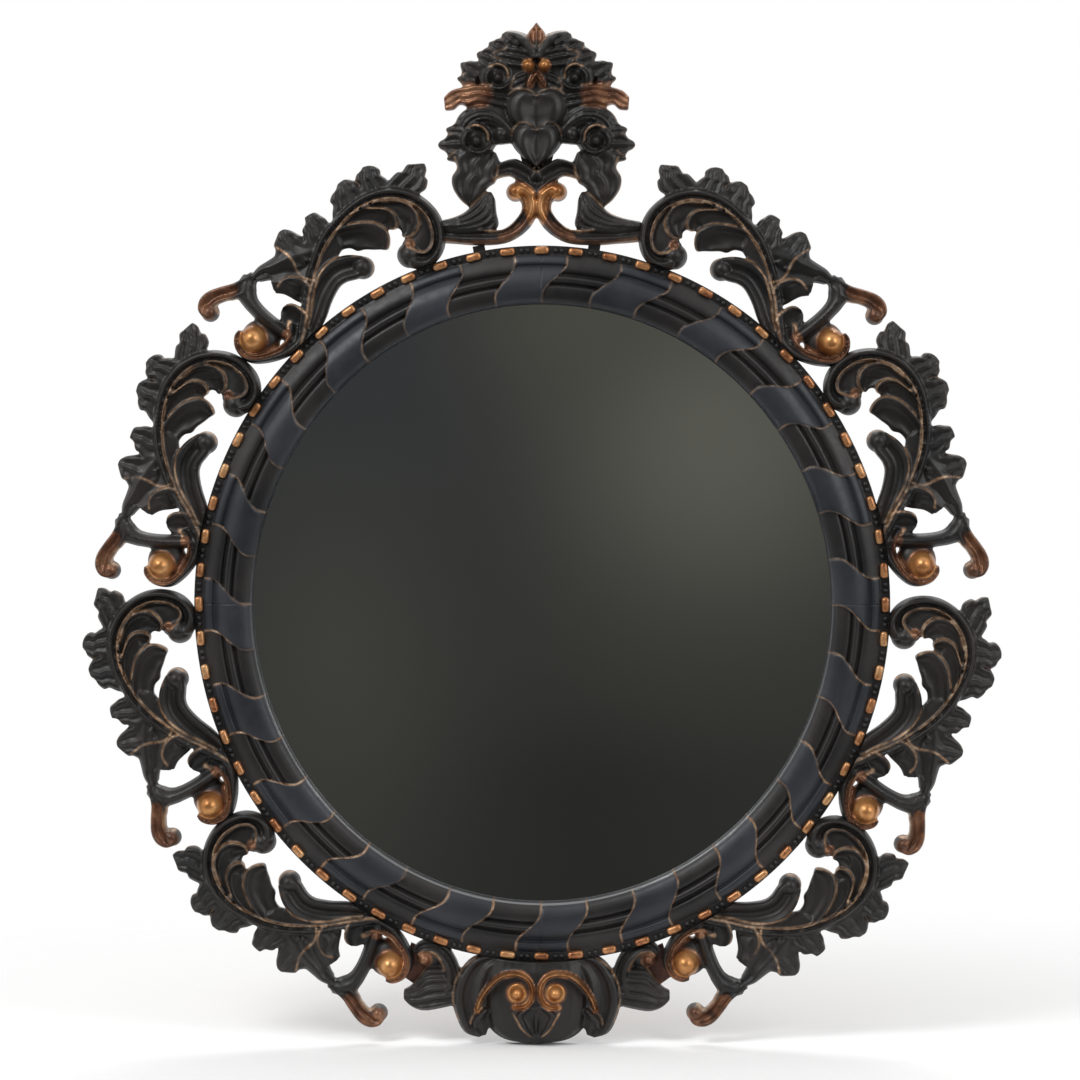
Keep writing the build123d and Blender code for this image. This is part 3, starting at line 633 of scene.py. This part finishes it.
# Crest: drawn about its axis, from the ring's top edge up
def rose(block, x, z, radius, height):
    """Cupped petals wrapped unevenly about a round bud."""
    block.dome(x, z, radius, height - 9)
    for turn, reach, half, spread in ((62, 0.76, 0.22, 64), (168, 0.72, 0.25, 58), (285, 0.76, 0.22, 66)):
        arc = []
        for k in range(-2, 3):
            angle, out = radians(turn + spread * k / 2), radius * reach * (1 + 0.07 * k)
            arc.append((x + out * cos(angle), z + out * sin(angle), radius * half))
        block.strand(arc, rounded, [height - 9, height - 4, height - 2, height - 3, height - 10], 24, 10)
        if turn < 100:
            block.rim([(px, pz) for px, pz, _ in arc], 0.8, 1.6)
    block.dome(x, z - radius * 0.06, radius * 0.42, height)


def leaf(block, tip, top, bottom, height, wide=0.16):
    """A broad leaf from its base, top to bottom, out to a blunt tip."""
    swell = ((0.35, 1.0), (0.60, 1.1), (0.74, 0.6), (0.90, 0.5), (1.0, 0.2))
    sides = []
    for base, way in ((top, 1), (bottom, -1)):
        run, rise = tip[0] - base[0], tip[1] - base[1]
        length = hypot(run, rise)
        nx, nz = rise / length * way, -run / length * way
        sides.append([base] + [
            (base[0] + run * s + nx * length * (wide * w), base[1] + rise * s + nz * length * (wide * w))
            for s, w in swell])
    block.sheet(sides[0], sides[1], folded, [height, height, height * 0.9, height * 0.65], 26, 20)
    block.rim(sides[0][2:], 0.35, 1.4)
    block.rim(sides[1][3:], 0.35, 1.4)


def carve_crest_half(mirrored):
    half = Carving(mirrored)
    # C-scroll along the ring, with its gilt volute, and the leaf over it
    half.sheet([(-103, 20), (-88, 18), (-70, 17), (-55, 16), (-40, 15), (-31, 17), (-22, 24), (-15, 34),
                (-15, 42), (-18, 46), (-23, 48)],
               [(-104, 4), (-94, 3), (-80, 2), (-58, 0.5), (-34, 2), (-19, 8), (-7, 18), (0, 30), (2, 42),
                (-4, 55), (-16, 62)], roll[::-1], [15, 17, 19, 20, 20, 21, 22], 70)
    half.rim([(-56, 15), (-42, 14), (-31, 17), (-22, 25), (-15, 35), (-15, 43)], 1.0, 2.2)
    half.rim([(-100, 4), (-86, 2), (-70, 1), (-54, 0.5), (-34, 2.5), (-19, 8.5)], 1.2, 3.4)
    half.gild_line([(-4, 26), (-5, 36), (-6, 46), (-12, 54), (-20, 55)], 9, 0.80)
    half.gild_line([(-34, 8), (-22, 14), (-12, 22)], 6, 0.42)
    half.gild_line([(-98, 4), (-84, 2), (-68, 1), (-50, 1), (-36, 2)], 6, 0.36)
    half.dome(-21, 53.5, 9.5, 24, gold=0.9)
    half.sheet([(-104, 24), (-88, 27), (-74, 32), (-64, 40), (-56, 48), (-50, 53), (-45, 54)],
               [(-104, 14), (-86, 12), (-66, 11), (-48, 13), (-38, 20), (-40, 34), (-41, 46)],
               fluted, [15, 19, 20, 19, 15], 40, 24)
    half.rim([(-88, 27), (-74, 32), (-64, 40), (-56, 48), (-46, 55)], 0.7)
    # Bracket that carries the hearts
    half.sheet([(6, 70), (-6, 78), (-14, 83), (-22, 86), (-34, 83), (-46, 76)],
               [(4, 46), (-4, 53), (-12, 60), (-19, 64), (-28, 69), (-46, 64)], trough, [22, 21, 19, 17, 15],
               30, 16)
    half.rim([(2, 73), (-6, 79), (-14, 84), (-22, 87), (-34, 84)], 0.5)
    half.rim([(-19, 64), (-28, 69), (-42, 66)], 0.7)
    # Hearts, one over the other
    half.sheet([(0, 114), (-6, 119), (-14, 121), (-22, 117), (-25, 108), (-23, 98), (-13, 87), (0, 77)],
               [(1, 112), (1, 109), (1, 105), (1, 101), (1, 97), (1, 92), (1, 86), (1, 78)],
               [0.40, 0.74, 0.92, 1.0, 1.0, 0.94, 0.86, 0.80, 0.78], [25, 27, 27, 26, 23], 44, 20)
    half.sheet([(0, 148), (-7, 153), (-18, 155), (-28, 150), (-32, 141), (-31, 130), (-25, 121), (0, 111)],
               [(1, 146), (1, 143), (1, 140), (1, 136), (1, 132), (1, 127), (1, 120), (1, 112)],
               [0.40, 0.74, 0.92, 1.0, 1.0, 0.94, 0.86, 0.80, 0.76], [24, 27, 27, 25, 22], 44, 20)
    half.rim([(0, 113), (-6, 119), (-14, 121), (-22, 117), (-25, 109)], 0.4)
    half.rim([(0, 147), (-7, 153), (-18, 155), (-27, 150)], 0.4)
    # Ground that joins the flowers to the hearts
    half.sheet([(-16, 150), (-20, 132), (-20, 116), (-20, 102)],
               [(-66, 142), (-60, 128), (-50, 116), (-42, 100)], level, [15, 15, 14], 24, 12)
    half.sheet([(1, 200), (1, 186), (1, 172), (1, 150)], [(-30, 200), (-46, 186), (-58, 172), (-50, 148)],
               level, [15, 15, 15], 24, 12)
    half.dome(-35, 110, 9.5, 21)
    # Lower rose, with the petals and leaves round it
    half.sheet([(-80, 112), (-80, 124), (-72, 134), (-58, 139), (-44, 138), (-32, 130), (-22, 118)],
               [(-66, 104), (-64, 110), (-60, 115), (-54, 118), (-46, 118), (-38, 114), (-28, 106)],
               fluted, [18, 21, 23, 22, 20], 36, 22)
    half.rim([(-80, 124), (-72, 134), (-58, 139), (-44, 138)], 0.5)
    rose(half, -59, 104, 17.5, 29)
    leaf(half, (-97.5, 100), (-66, 112), (-66, 88), 19, 0.18)
    leaf(half, (-90, 115), (-62, 122), (-66, 104), 20, 0.14)
    leaf(half, (-89, 86), (-62, 97), (-58, 84), 18, 0.12)
    half.sheet([(-56, 98), (-72, 94), (-81, 87), (-79, 77), (-84, 68), (-83, 57), (-76, 46), (-69, 40)],
               [(-40, 92), (-36, 80), (-40, 71), (-41, 63), (-48, 58), (-54, 50), (-60, 45), (-65, 40)],
               folded, [20, 21, 20, 18, 13], 44, 24)
    half.rim([(-81, 87), (-79, 77), (-84, 68), (-83, 57), (-76, 46), (-69, 40)], 0.7)
    half.rim([(-38, 78), (-41, 64), (-54, 50), (-65, 40)], 0.5)
    # Copper leaf, upper rose, side leaf
    half.sheet([(-24, 156), (-44, 157), (-58, 159), (-70, 157), (-78, 156), (-86, 153), (-92, 147)],
               [(-24, 134), (-44, 138), (-58, 141), (-68, 138), (-76, 140), (-82, 135), (-91, 134)],
               folded, [19, 22, 22, 19, 13], 40, 24)
    half.rim([(-44, 158), (-58, 159), (-70, 157), (-78, 156), (-86, 153), (-92, 146)], 0.9)
    half.gild_line([(-56, 148), (-66, 149), (-76, 148), (-88, 142)], 17, 0.54)
    half.sheet([(-10, 152), (-12, 166), (-20, 178), (-32, 186), (-46, 186)],
               [(-34, 140), (-44, 146), (-54, 154), (-62, 164), (-58, 178)], rounded, [16, 17, 17, 15], 24,
               16)
    leaf(half, (-75, 181), (-54, 180), (-64, 152), 17, 0.12)
    leaf(half, (-79, 166), (-58, 170), (-62, 154), 16, 0.12)
    rose(half, -38, 166, 15.5, 27)
    # Fan of leaves at the top
    leaf(half, (-59, 190), (-36, 194), (-44, 170), 20, 0.16)
    leaf(half, (-47, 200.5), (-26, 202), (-36, 180), 21, 0.16)
    leaf(half, (-34, 209), (-12, 206), (-24, 188), 22, 0.16)
    half.strand([(-2, 184, 7), (-6, 194, 8), (-14, 203, 7.5), (-24, 208, 5.5), (-31, 210, 3)], rounded,
                [26, 26, 24, 20, 16])
    half.rim([(-3, 196), (-10, 206), (-20, 212), (-30, 212)], 0.5)
    half.sheet([(0, 221), (-4, 216), (-8, 211), (-9, 204), (-5, 196), (0, 190)],
               [(1, 220), (1, 214), (1, 209), (1, 203), (1, 197), (1, 191)],
               [0.5, 0.86, 0.70, 0.66, 0.80, 1.0], [14, 18, 22, 25, 25], 30, 18)
    half.rim([(0, 221), (-4, 216), (-8, 211), (-9, 204)], 0.8)
    half.gild(0, 211, 14, 0.52)
    leaf(half, (-42, 189), (-8, 192), (-13, 175), 24, 0.15)
    leaf(half, (-25, 156), (-10, 172), (-11, 156), 22, 0.20)
    # Berries and the small leaf under them
    half.dome(-8, 177.5, 6.2, 27, 8, gold=1.0, wide=1.2)
    half.sheet([(0, 173), (-4, 169), (-7, 163), (-9, 157)], [(1, 166), (-1, 163), (-3, 160), (-6, 156)],
               rounded, [24, 24, 21], 20, 12)
    half.gild_line([(-1, 169), (-4, 164), (-6, 159)], 5, 0.62)
    return half


crest_mesh, crest_finish = carved_block("crest", [carve_crest_half(False), carve_crest_half(True)],
                                        crest_cube)
place = Matrix.Translation((crest_shift, 0, ring_half_height)) @ Matrix.Diagonal((scale, 1, scale, 1))
crest = make_object("carved_crest", settle(crest_mesh, place, False, crest_back), ebony)
give_finish(crest.data, crest_finish)
add_piece(crest, "frame", "crest_scroll_left", "crest_scroll_right", "crest_bracket", "crest_heart_lower",
          "crest_heart_upper", "crest_fan", "crest_foliage_left", "crest_foliage_right", "rose_upper_left",
          "rose_upper_right", "rose_lower_left", "rose_lower_right", "crest_berries", slot="ebonised_wood")


# Base: drawn about its axis, from the ring's bottom edge down
def carve_base_half(mirrored):
    half = Carving(mirrored)
    half.sheet([(-46, 4), (-52, -16), (-54, -34), (-52, -52), (-46, -68), (-33, -78), (-16, -82), (0, -83)],
               [(1, 4), (1, -12), (1, -26), (1, -40), (1, -54), (1, -66), (1, -76), (1, -81)],
               [0.40, 0.72, 0.84, 0.90, 0.94, 0.97, 1.0], [24, 28, 30, 30, 28, 21], 44, 22)
    # Side lobes
    half.sheet([(-44, 6), (-62, 4), (-75, -8), (-83, -24), (-84, -42), (-79, -60), (-71, -73), (-58, -77)],
               [(-38, 0), (-42, -8), (-46, -18), (-48, -30), (-49, -42), (-48, -54), (-48, -64), (-50, -74)],
               [0.42, 0.78, 0.84, 0.68, 0.62, 0.74, 0.86, 0.74, 0.66], [18, 21, 23, 24, 22, 17], 44, 24)
    half.rim([(-60, 4), (-74, -8), (-82, -24), (-83, -42), (-78, -60)], 0.7)
    half.sheet([(-52, -44), (-58, -48), (-66, -56), (-66, -66)],
               [(-46, -50), (-50, -56), (-54, -62), (-58, -68)], rounded, [26, 27, 24, 20], 20, 12)
    half.rim([(-54, -46), (-62, -52), (-66, -62)], 0.9)
    # Gilt double volute
    band = [(-59, -48), (-55, -36), (-47, -24), (-36, -14), (-23, -10.5), (-10, -14), (-4, -24), (-5, -36),
            (-12, -43), (-22, -44)]
    half.strand([(x, z, 3.0) for x, z in band], rounded, [28, 32, 35, 36, 36.6, 36.6, 36], 70)
    half.gild_line(band, 4.6, 0.76)
    half.gild_line([(-30, -13), (-16, -10.5), (-6, -19), (-4, -32), (-12, -43), (-22, -44)], 4.6, 0.76)
    half.dome(-19, -30, 10, 37, 8, gold=1.0)
    half.sheet([(0, -42), (-12, -44), (-23, -50), (-19, -57), (-14, -66), (-6, -73), (0, -75)],
               [(1, -44), (1, -48), (1, -53), (1, -58), (1, -64), (1, -69), (1, -74)],
               [0.7, 1.0, 0.84, 0.80, 0.94], [32, 35, 35, 32], 26, 14)
    half.rim([(-23, -50), (-19, -57), (-14, -66), (-6, -73)], 1.0)
    # Side leaf scroll
    half.strand([(-120, 6, 5), (-114, 13, 6.5), (-103, 13, 7.5), (-93, 6, 8), (-86, -6, 8), (-84, -20, 8),
                 (-88, -32, 6)], roll[::-1], [16, 18, 19, 19, 18], 40)
    half.rim([(-118, 5), (-113, 8), (-104, 8), (-97, 2), (-92, -8)], 1.1, 2.2)
    half.dome(-112, 1.5, 8, 19, gold=0.62)
    half.sheet([(-84, -6), (-98, -6), (-110, -7), (-118, -17), (-126, -26), (-133, -30)],
               [(-84, -46), (-98, -49), (-110, -51), (-119, -50), (-127, -46), (-133, -40)],
               fluted, [18, 19, 18, 15, 11], 36, 28)
    half.rim([(-110, -7), (-118, -17), (-126, -26), (-133, -30)], 0.4)
    half.rim([(-133, -40), (-127, -46), (-119, -50), (-110, -51)], 0.4)
    half.sheet([(-118, 6), (-110, 16), (-98, 22), (-86, 18)], [(-104, -12), (-98, -8), (-92, -4), (-84, 2)],
               rounded, [12, 13, 13, 12], 20, 12)
    return half


base_mesh, base_finish = carved_block("base", [carve_base_half(False), carve_base_half(True)], base_cube)
place = Matrix.Translation((crest_shift, 0, -ring_half_height)) @ Matrix.Diagonal((scale, 1, scale, 1))
base = make_object("carved_base", settle(base_mesh, place, False, crest_back), ebony)
give_finish(base.data, base_finish)
add_piece(base, "frame", "base_cartouche", "base_leaf_left", "base_leaf_right", slot="ebonised_wood")


# Ring: ribbons wound round a reeded band, laid out in degrees of turn
across_band = 92
around_quarter = 470
quarter_end = 89.9999
profile_steps = 900
ribbon_pitch = 18.0
reeds_start = 2.1
reeds_span = 9.2
lean = 4.2
sight_radius = 290.0
cushion = smooth_line([(0, 14.2), (1.4, 17.2), (5, 20.8), (11, 23.2), (17, 23.8), (24, 23.0), (31, 20.2),
                       (36, 16.2), (38.2, 14.4), (40.5, 17.4), (44, 17.0), (ledge_start, ledge_height)],
                      profile_steps)
reeded = smooth_line([(0, 13.8), (1.4, 16.2), (5, 19.4), (11, 21.6), (16, 21.8), (18.4, 20.4), (19.8, 17.8),
                      (21.2, 20.6), (23, 23.2), (25, 23.8), (27, 22.8), (28.8, 19.6), (30.2, 16.6),
                      (31.8, 18.6), (34.5, 19.8), (39, 19.0), (44, 16.8), (ledge_start, ledge_height)],
                     profile_steps)


def height_at(profile, u):
    """The height of a section at u from the sight edge."""
    if u >= ledge_start:
        return ledge_height
    return next(height for place, height in profile if place >= u)


def band_finish(u, heights, turn):
    """The band's front at u from the sight edge: its height, how worn it is, and its paint, with a pale line
    painted along the sight edge as a highlight.
    """
    wide, narrow = heights
    if u > ledge_start:
        return wide, 0.0, 0.0
    share = u / ledge_start
    line = turn + 2.0 - lean * share + 0.85 * sin(2 * pi * share)
    phase = (line - reeds_start) % ribbon_pitch
    edge = min(phase, abs(phase - reeds_span), ribbon_pitch - phase) * pi / 180 * (sight_radius + u)
    ends = min(1.0, u / 3, (ledge_start - u) / 2)
    if phase < reeds_span:
        height = narrow + 0.4 * (1 - min(1.0, edge / 1.6))
        paint_and_highlight = 0.08
    else:
        height = wide + 1.2 * ends * (0.3 + 0.7 * sqrt(min(1.0, edge / 3.0)))
        paint_and_highlight = 0.92
    low = (1 - cos(radians(turn))) / 2
    worn = max(0.0, 1.2 - edge / 1.1) * (0.26 + 0.22 * share + 0.55 * low * low)
    # A pale grey highlight line painted along the sight edge: values over 1 carry it, on the lower part of
    # the ring only and strongest at the bottom
    if u < 1.7:
        paint_and_highlight = 1.0 + 0.75 * max(0.0, low - 0.35)
    return height, worn, paint_and_highlight


def ring_quarter(name, first_turn, node):
    bm = bmesh.new()
    layer = bm.verts.layers.float_vector.new("finish")
    made = bmesh.ops.create_grid(bm, x_segments=around_quarter, y_segments=across_band, size=0.5)["verts"]
    columns = [ring_band * j / across_band for j in range(across_band + 1)]
    heights = [(height_at(cushion, u), height_at(reeded, u)) for u in columns]
    for vert in made:
        s, t = vert.co.x + 0.5, vert.co.y + 0.5
        u = t * ring_band
        turn = first_turn + 90 * s
        x, z, _ = oval_place(min(turn, first_turn + quarter_end), ring_band - u)
        height, worn, paint_and_highlight = band_finish(u, heights[round(t * across_band)], turn)
        vert.co = x * mm, -(land + height) * mm, z * mm
        vert[layer] = worn, 0.0, paint_and_highlight
    front = list({face for vert in made for face in vert.link_faces})
    back = bmesh.ops.extrude_face_region(bm, geom=front)["geom"]
    for vert in back:
        if isinstance(vert, bmesh.types.BMVert):
            vert.co.y = -land * mm
            vert[layer] = 0.0, 0.0, 0.0
    bmesh.ops.recalc_face_normals(bm, faces=bm.faces)
    piece = make_object(name, bm, ebony)
    add_piece(piece, "frame", node, slot="ebonised_wood")


for name, first_turn in (("top_right", 0), ("bottom_right", 90), ("bottom_left", 180), ("top_left", 270)):
    ring_quarter(f"wound_band_{name}", first_turn, f"ring_{name}")


# Bead-and-reel edge
def upright(x, z, angle, height):
    return Matrix.Translation((x * mm, -height * mm, z * mm)) @ Matrix.Rotation(angle, 4, "Y")


barrels = bmesh.new()
pearls = bmesh.new()
bead_count = 64
bead_pitch = 360 / bead_count
pearl_spacing = 6.1
pearl_line = 2190.0
seat = land + ledge_height
for k in range(bead_count):
    x, z, angle = oval_place(k * bead_pitch, ledge_width / 2 + 0.2)
    length, depth, width = dice.uniform(14.6, 15.8), dice.uniform(8.6, 9.6), dice.uniform(7.0, 7.8)
    size = Matrix.Diagonal((length * mm, depth * mm, width * mm, 1))
    tilt = Matrix.Rotation(radians(dice.uniform(-3, 3)), 4, "Y")
    made = bmesh.ops.create_cube(barrels, size=1, matrix=upright(x, z, angle, seat) @ tilt @ size)["verts"]
    edges = list({edge for vert in made for edge in vert.link_edges})
    bmesh.ops.bevel(barrels, geom=edges, affect="EDGES", offset=3.0 * mm, segments=4, profile=0.5,
                    material=-1)
    for j in (-0.5, 0.5):
        turn = (k + 0.5) * bead_pitch + j * pearl_spacing / pearl_line * 360
        x, z, angle = oval_place(turn, ledge_width / 2)
        radius = dice.uniform(2.4, 2.7) * mm
        place = upright(x, z, angle, seat) @ Matrix.Diagonal((1, 1.15, 1.1, 1))
        bmesh.ops.create_uvsphere(pearls, u_segments=12, v_segments=8, radius=radius, matrix=place)
add_piece(make_object("gilt_barrels", barrels, gilt), "frame", "gilt_beads", slot="gilt_wood")
pearl_piece = make_object("pearls", pearls, ebony)
give_finish(pearl_piece.data, [0.0, 0.0, 0.2] * len(pearl_piece.data.vertices))
add_piece(pearl_piece, "frame", "black_pearls", slot="ebonised_wood")


# Screws and hanging loops
def round_screw(bm, x, z, back, radius, height, roundness=1.0, slot=0.35):
    """A head standing behind the plane y = back, domed or nearly flat, with a crossed slot."""
    slot_half, slot_reach, slot_edge = 0.12, 0.6, 0.3
    head = bmesh.ops.create_uvsphere(bm, u_segments=28, v_segments=16, radius=1)["verts"]
    place = Matrix.Translation((x * mm, back * mm, z * mm)) @ Matrix.Rotation(-pi / 2, 4, "X")
    for vert in head:
        x1, y1, z1 = vert.co
        if z1 > slot_edge and min(abs(x1), abs(y1)) < slot_half and hypot(x1, y1) < slot_reach:
            z1 = slot
        else:
            z1 = max(z1, 0.0) ** roundness
        vert.co = place @ Vector((x1 * radius * mm, y1 * radius * mm, z1 * height * mm))


hang_height = 100.0
hang_inset = 17.0
hang_x = sqrt((side_radius - hang_inset) ** 2 - hang_height ** 2) - offset
strap_rear = -4.8
loop_rear = -3.02
wire_radius = 1.5
screws = bmesh.new()
for x in (-hang_x, hang_x):
    for drop in (24.0, 33.0):
        round_screw(screws, x, hang_height - drop, strap_rear, 3.0, 1.8)
add_piece(make_object("hanger_screw_heads", screws, steel), "frame", "hanger_screws", slot="zinc_steel")

# The board, a shaving thinner than the model's so that the heads let into it show
packed_board = nodes["back_board"]
board_reach = max((packed_board.matrix_world @ Vector(corner)).x for corner in packed_board.bound_box)
board_inset = ring_half_width - board_reach / mm
shaving = 0.2
board = bmesh.new()
for vert in bmesh.ops.create_circle(board, cap_ends=True, segments=288, radius=1)["verts"]:
    x, z, _ = oval_place(degrees(atan2(vert.co.x, vert.co.y)), board_inset)
    vert.co = x * mm, -land * mm, z * mm
for vert in bmesh.ops.extrude_face_region(board, geom=board.faces[:])["geom"]:
    if isinstance(vert, bmesh.types.BMVert):
        vert.co.y = -shaving * mm
bmesh.ops.recalc_face_normals(board, faces=board.faces)
add_piece(make_object("ply_board", board, plywood, False), "frame", "back_board", slot="plywood")
board_screws = bmesh.new()
for k in range(8):
    x, z, _ = oval_place((k + 0.5) * 45, board_inset + 10.0)
    round_screw(board_screws, x, z, -0.9, 3.6, 0.87, roundness=0.3, slot=0.83)
add_piece(make_object("board_screw_heads", board_screws, steel), "frame", slot="zinc_steel")


def wire_loop(name, x, body, node):
    """The loop's wire as one bent rod."""
    half, straight, turns = 10.5, 6.0, 24
    pivot = Vector((x * mm, loop_rear * mm, hang_height * mm))
    line = [(-half + 2, 0), (-half + 0.6, -0.6), (-half, -2), (-half, -straight)]
    bend = [pi + pi * k / turns for k in range(1, turns)]
    line += [(half * cos(angle), half * sin(angle) - straight) for angle in bend]
    line += [(half, -straight), (half, -2), (half - 0.6, -0.6), (half - 2, 0)]
    curve = bpy.data.curves.new(name, "CURVE")
    curve.dimensions = "3D"
    curve.bevel_depth = wire_radius * mm
    curve.bevel_resolution = 4
    spline = curve.splines.new("POLY")
    spline.points.add(len(line) - 1)
    for point, (dx, dz) in zip(spline.points, line):
        point.co = (pivot.x + dx * mm, pivot.y, pivot.z + dz * mm, 1)
    spline.use_cyclic_u = True
    holder = bpy.data.objects.new(name + "_line", curve)
    bpy.context.scene.collection.objects.link(holder)
    mesh = bpy.data.meshes.new_from_object(holder.evaluated_get(bpy.context.evaluated_depsgraph_get()))
    bpy.data.objects.remove(holder)
    mesh.name = name
    mesh.materials.clear()
    mesh.materials.append(steel)
    mesh.shade_smooth()
    piece = bpy.data.objects.new(name, mesh)
    bpy.context.scene.collection.objects.link(piece)
    add_piece(piece, body, node, slot="zinc_steel")


wire_loop("wire_loop_left", -hang_x, "loop_left", "hanger_loop_left")
wire_loop("wire_loop_right", hang_x, "loop_right", "hanger_loop_right")


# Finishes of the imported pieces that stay
kept = {
    silvered: ["mirror_glass"],
    beech: ["ring_tongues"],
    stained: ["base_block_left", "base_block_right"],
    steel: ["hanger_strap_left", "hanger_strap_right"],
    ebony: ["crest_backing", "scroll_tenons", "crest_tenons", "base_tenons"],
}
for material, names in kept.items():
    for name in names:
        node = nodes[name]
        node.data.materials.clear()
        node.data.materials.append(material)


# Floor, light and camera
floor_z = cad_box[0][2]
floor_mesh = bmesh.new()
place = Matrix.Translation((0, 0, floor_z))
bmesh.ops.create_grid(floor_mesh, x_segments=1, y_segments=1, size=9.0, matrix=place)
floor_material, floor_tree, floor_shader = new_material("pale_floor")
floor_shader.inputs["Base Color"].default_value = (0.96, 0.96, 0.96, 1)
floor_shader.inputs["Roughness"].default_value = 0.9
floor_shader.inputs["Specular IOR Level"].default_value = 0.0
floor_coords = floor_tree.nodes.new("ShaderNodeTexCoord")
floor_spread = floor_tree.nodes.new("ShaderNodeVectorMath")
floor_spread.operation = "LENGTH"
floor_tree.links.new(floor_coords.outputs["Object"], floor_spread.inputs[0])
floor_fade = floor_tree.nodes.new("ShaderNodeMapRange")
floor_fade.interpolation_type = "SMOOTHSTEP"
for key, value in (("From Min", 0.38), ("From Max", 1.30), ("To Min", 1.0), ("To Max", 0.0)):
    floor_fade.inputs[key].default_value = value
floor_tree.links.new(floor_spread.outputs["Value"], floor_fade.inputs["Value"])
floor_tree.links.new(floor_fade.outputs["Result"], floor_shader.inputs["Alpha"])
floor = make_object("floor", floor_mesh, floor_material, False)

# A dark wall and floor sheet in front, seen only in the glass and the gloss: it glows though it is no lamp,
# its dark ground is painted shade in the gloss, and soft patches on it are a painted reflection in the glass
room_mesh = bmesh.new()
room_edge = 2.6
clear_half = 0.2
place = Matrix.Translation((0, -room_edge, 0.9)) @ Matrix.Rotation(pi / 2, 4, "X")
bmesh.ops.create_grid(room_mesh, x_segments=1, y_segments=1, size=room_edge, matrix=place)
place = Matrix.Translation((0, -room_edge / 2 - clear_half, floor_z + 0.002))
place = place @ Matrix.Diagonal((room_edge, room_edge / 2 - clear_half, 1, 1))
bmesh.ops.create_grid(room_mesh, x_segments=1, y_segments=1, size=1, matrix=place)
room_material = bpy.data.materials.new("painted_reflection_card")
room_material.use_nodes = True
room_tree = room_material.node_tree
room_tree.nodes.clear()
room_coords = room_tree.nodes.new("ShaderNodeTexCoord")
room_parts = room_tree.nodes.new("ShaderNodeSeparateXYZ")
room_tree.links.new(room_coords.outputs["Object"], room_parts.inputs["Vector"])


def painted_glow(x, z, wide, high, strength):
    """A soft patch of painted reflected light on the card, 1 at its middle."""
    dx = math_node(room_tree, "MULTIPLY_ADD", room_parts.outputs["X"], 1 / wide, -x / wide)
    dz = math_node(room_tree, "MULTIPLY_ADD", room_parts.outputs["Z"], 1 / high, -z / high)
    squares = math_node(room_tree, "ADD", math_node(room_tree, "MULTIPLY", dx, dx),
                        math_node(room_tree, "MULTIPLY", dz, dz))
    fall = math_node(room_tree, "POWER", 0.37, squares)
    return math_node(room_tree, "MULTIPLY", fall, strength)


# Patches of light painted onto the card as the glass's reflection: middle, width, height, strength, and
# colour
patches = [
    ((-0.40, 0.30, 0.30, 0.40, 0.8), (0.030, 0.033, 0.040)),
    ((0.26, 0.16, 0.28, 0.30, 1.0), (0.106, 0.105, 0.090)),
    ((0.00, 0.40, 0.20, 0.16, 0.8), (0.074, 0.073, 0.060)),
    ((0.20, -0.30, 0.26, 0.16, 0.4), (0.052, 0.052, 0.042)),
    ((-0.02, -0.50, 0.40, 0.20, 0.9), (0.0215, 0.0215, 0.021)),
    ((-0.42, -0.20, 0.24, 0.40, 0.7), (0.060, 0.060, 0.051)),
]
# The card's dark ground, painted shade for the glass and the gloss
painted_reflection_color = (0.030, 0.030, 0.0275)
for patch, color in patches:
    painted_reflection_color = mix_colors(room_tree, painted_glow(*patch), painted_reflection_color, color)
painted_glow_emission = room_tree.nodes.new("ShaderNodeEmission")
room_tree.links.new(painted_reflection_color, painted_glow_emission.inputs["Color"])
room_output = room_tree.nodes.new("ShaderNodeOutputMaterial")
room_tree.links.new(painted_glow_emission.outputs["Emission"], room_output.inputs["Surface"])
reflection_card = make_object("painted_reflection_card", room_mesh, room_material, False)
reflection_card.visible_camera = False
reflection_card.visible_diffuse = False
reflection_card.visible_shadow = False
reflection_card.visible_transmission = False

world = bpy.data.worlds.new("studio")
bpy.context.scene.world = world
world.use_nodes = True
world_tree = world.node_tree
background = world_tree.nodes["Background"]
rays = world_tree.nodes.new("ShaderNodeLightPath")
seen = math_node(world_tree, "ADD", rays.outputs["Is Camera Ray"], rays.outputs["Is Glossy Ray"])
seen = math_node(world_tree, "ADD", seen, rays.outputs["Is Transmission Ray"], clamp=True)
strength = math_node(world_tree, "MULTIPLY_ADD", seen, 0.42, 0.58)
background.inputs["Color"].default_value = (1, 1, 1, 1)
world_tree.links.new(strength, background.inputs["Strength"])


def softbox(name, place, target, size, power):
    lamp = bpy.data.lights.new(name, "AREA")
    lamp.shape = "RECTANGLE"
    lamp.size, lamp.size_y = size
    lamp.energy = power
    holder = bpy.data.objects.new(name, lamp)
    holder.location = place
    holder.rotation_euler = (Vector(target) - Vector(place)).to_track_quat("-Z", "Y").to_euler()
    bpy.context.scene.collection.objects.link(holder)


softbox("key", (-1.7, -2.2, 2.3), (0, 0, 0.1), (1.3, 1.3), 62)
softbox("fill", (2.1, -2.0, 1.2), (0, 0, 0), (1.2, 1.6), 26)
softbox("rim", (0.3, 2.0, 2.6), (0, 0, 0), (2.0, 1.0), 30)

camera = bpy.data.cameras.new("camera")
sensor_width = 36.0
picture_width = 1.08
distance = 3.4
camera.sensor_width = sensor_width
camera.lens = sensor_width * distance / picture_width
eye = bpy.data.objects.new("camera", camera)
target = Vector((-0.0015, -0.02, 0.0645))
eye.location = target + Vector((0.07, -distance, 0.10))
eye.rotation_euler = (target - eye.location).to_track_quat("-Z", "Y").to_euler()
bpy.context.scene.collection.objects.link(eye)
bpy.context.scene.camera = eye
bpy.context.scene.view_settings.view_transform = "Standard"
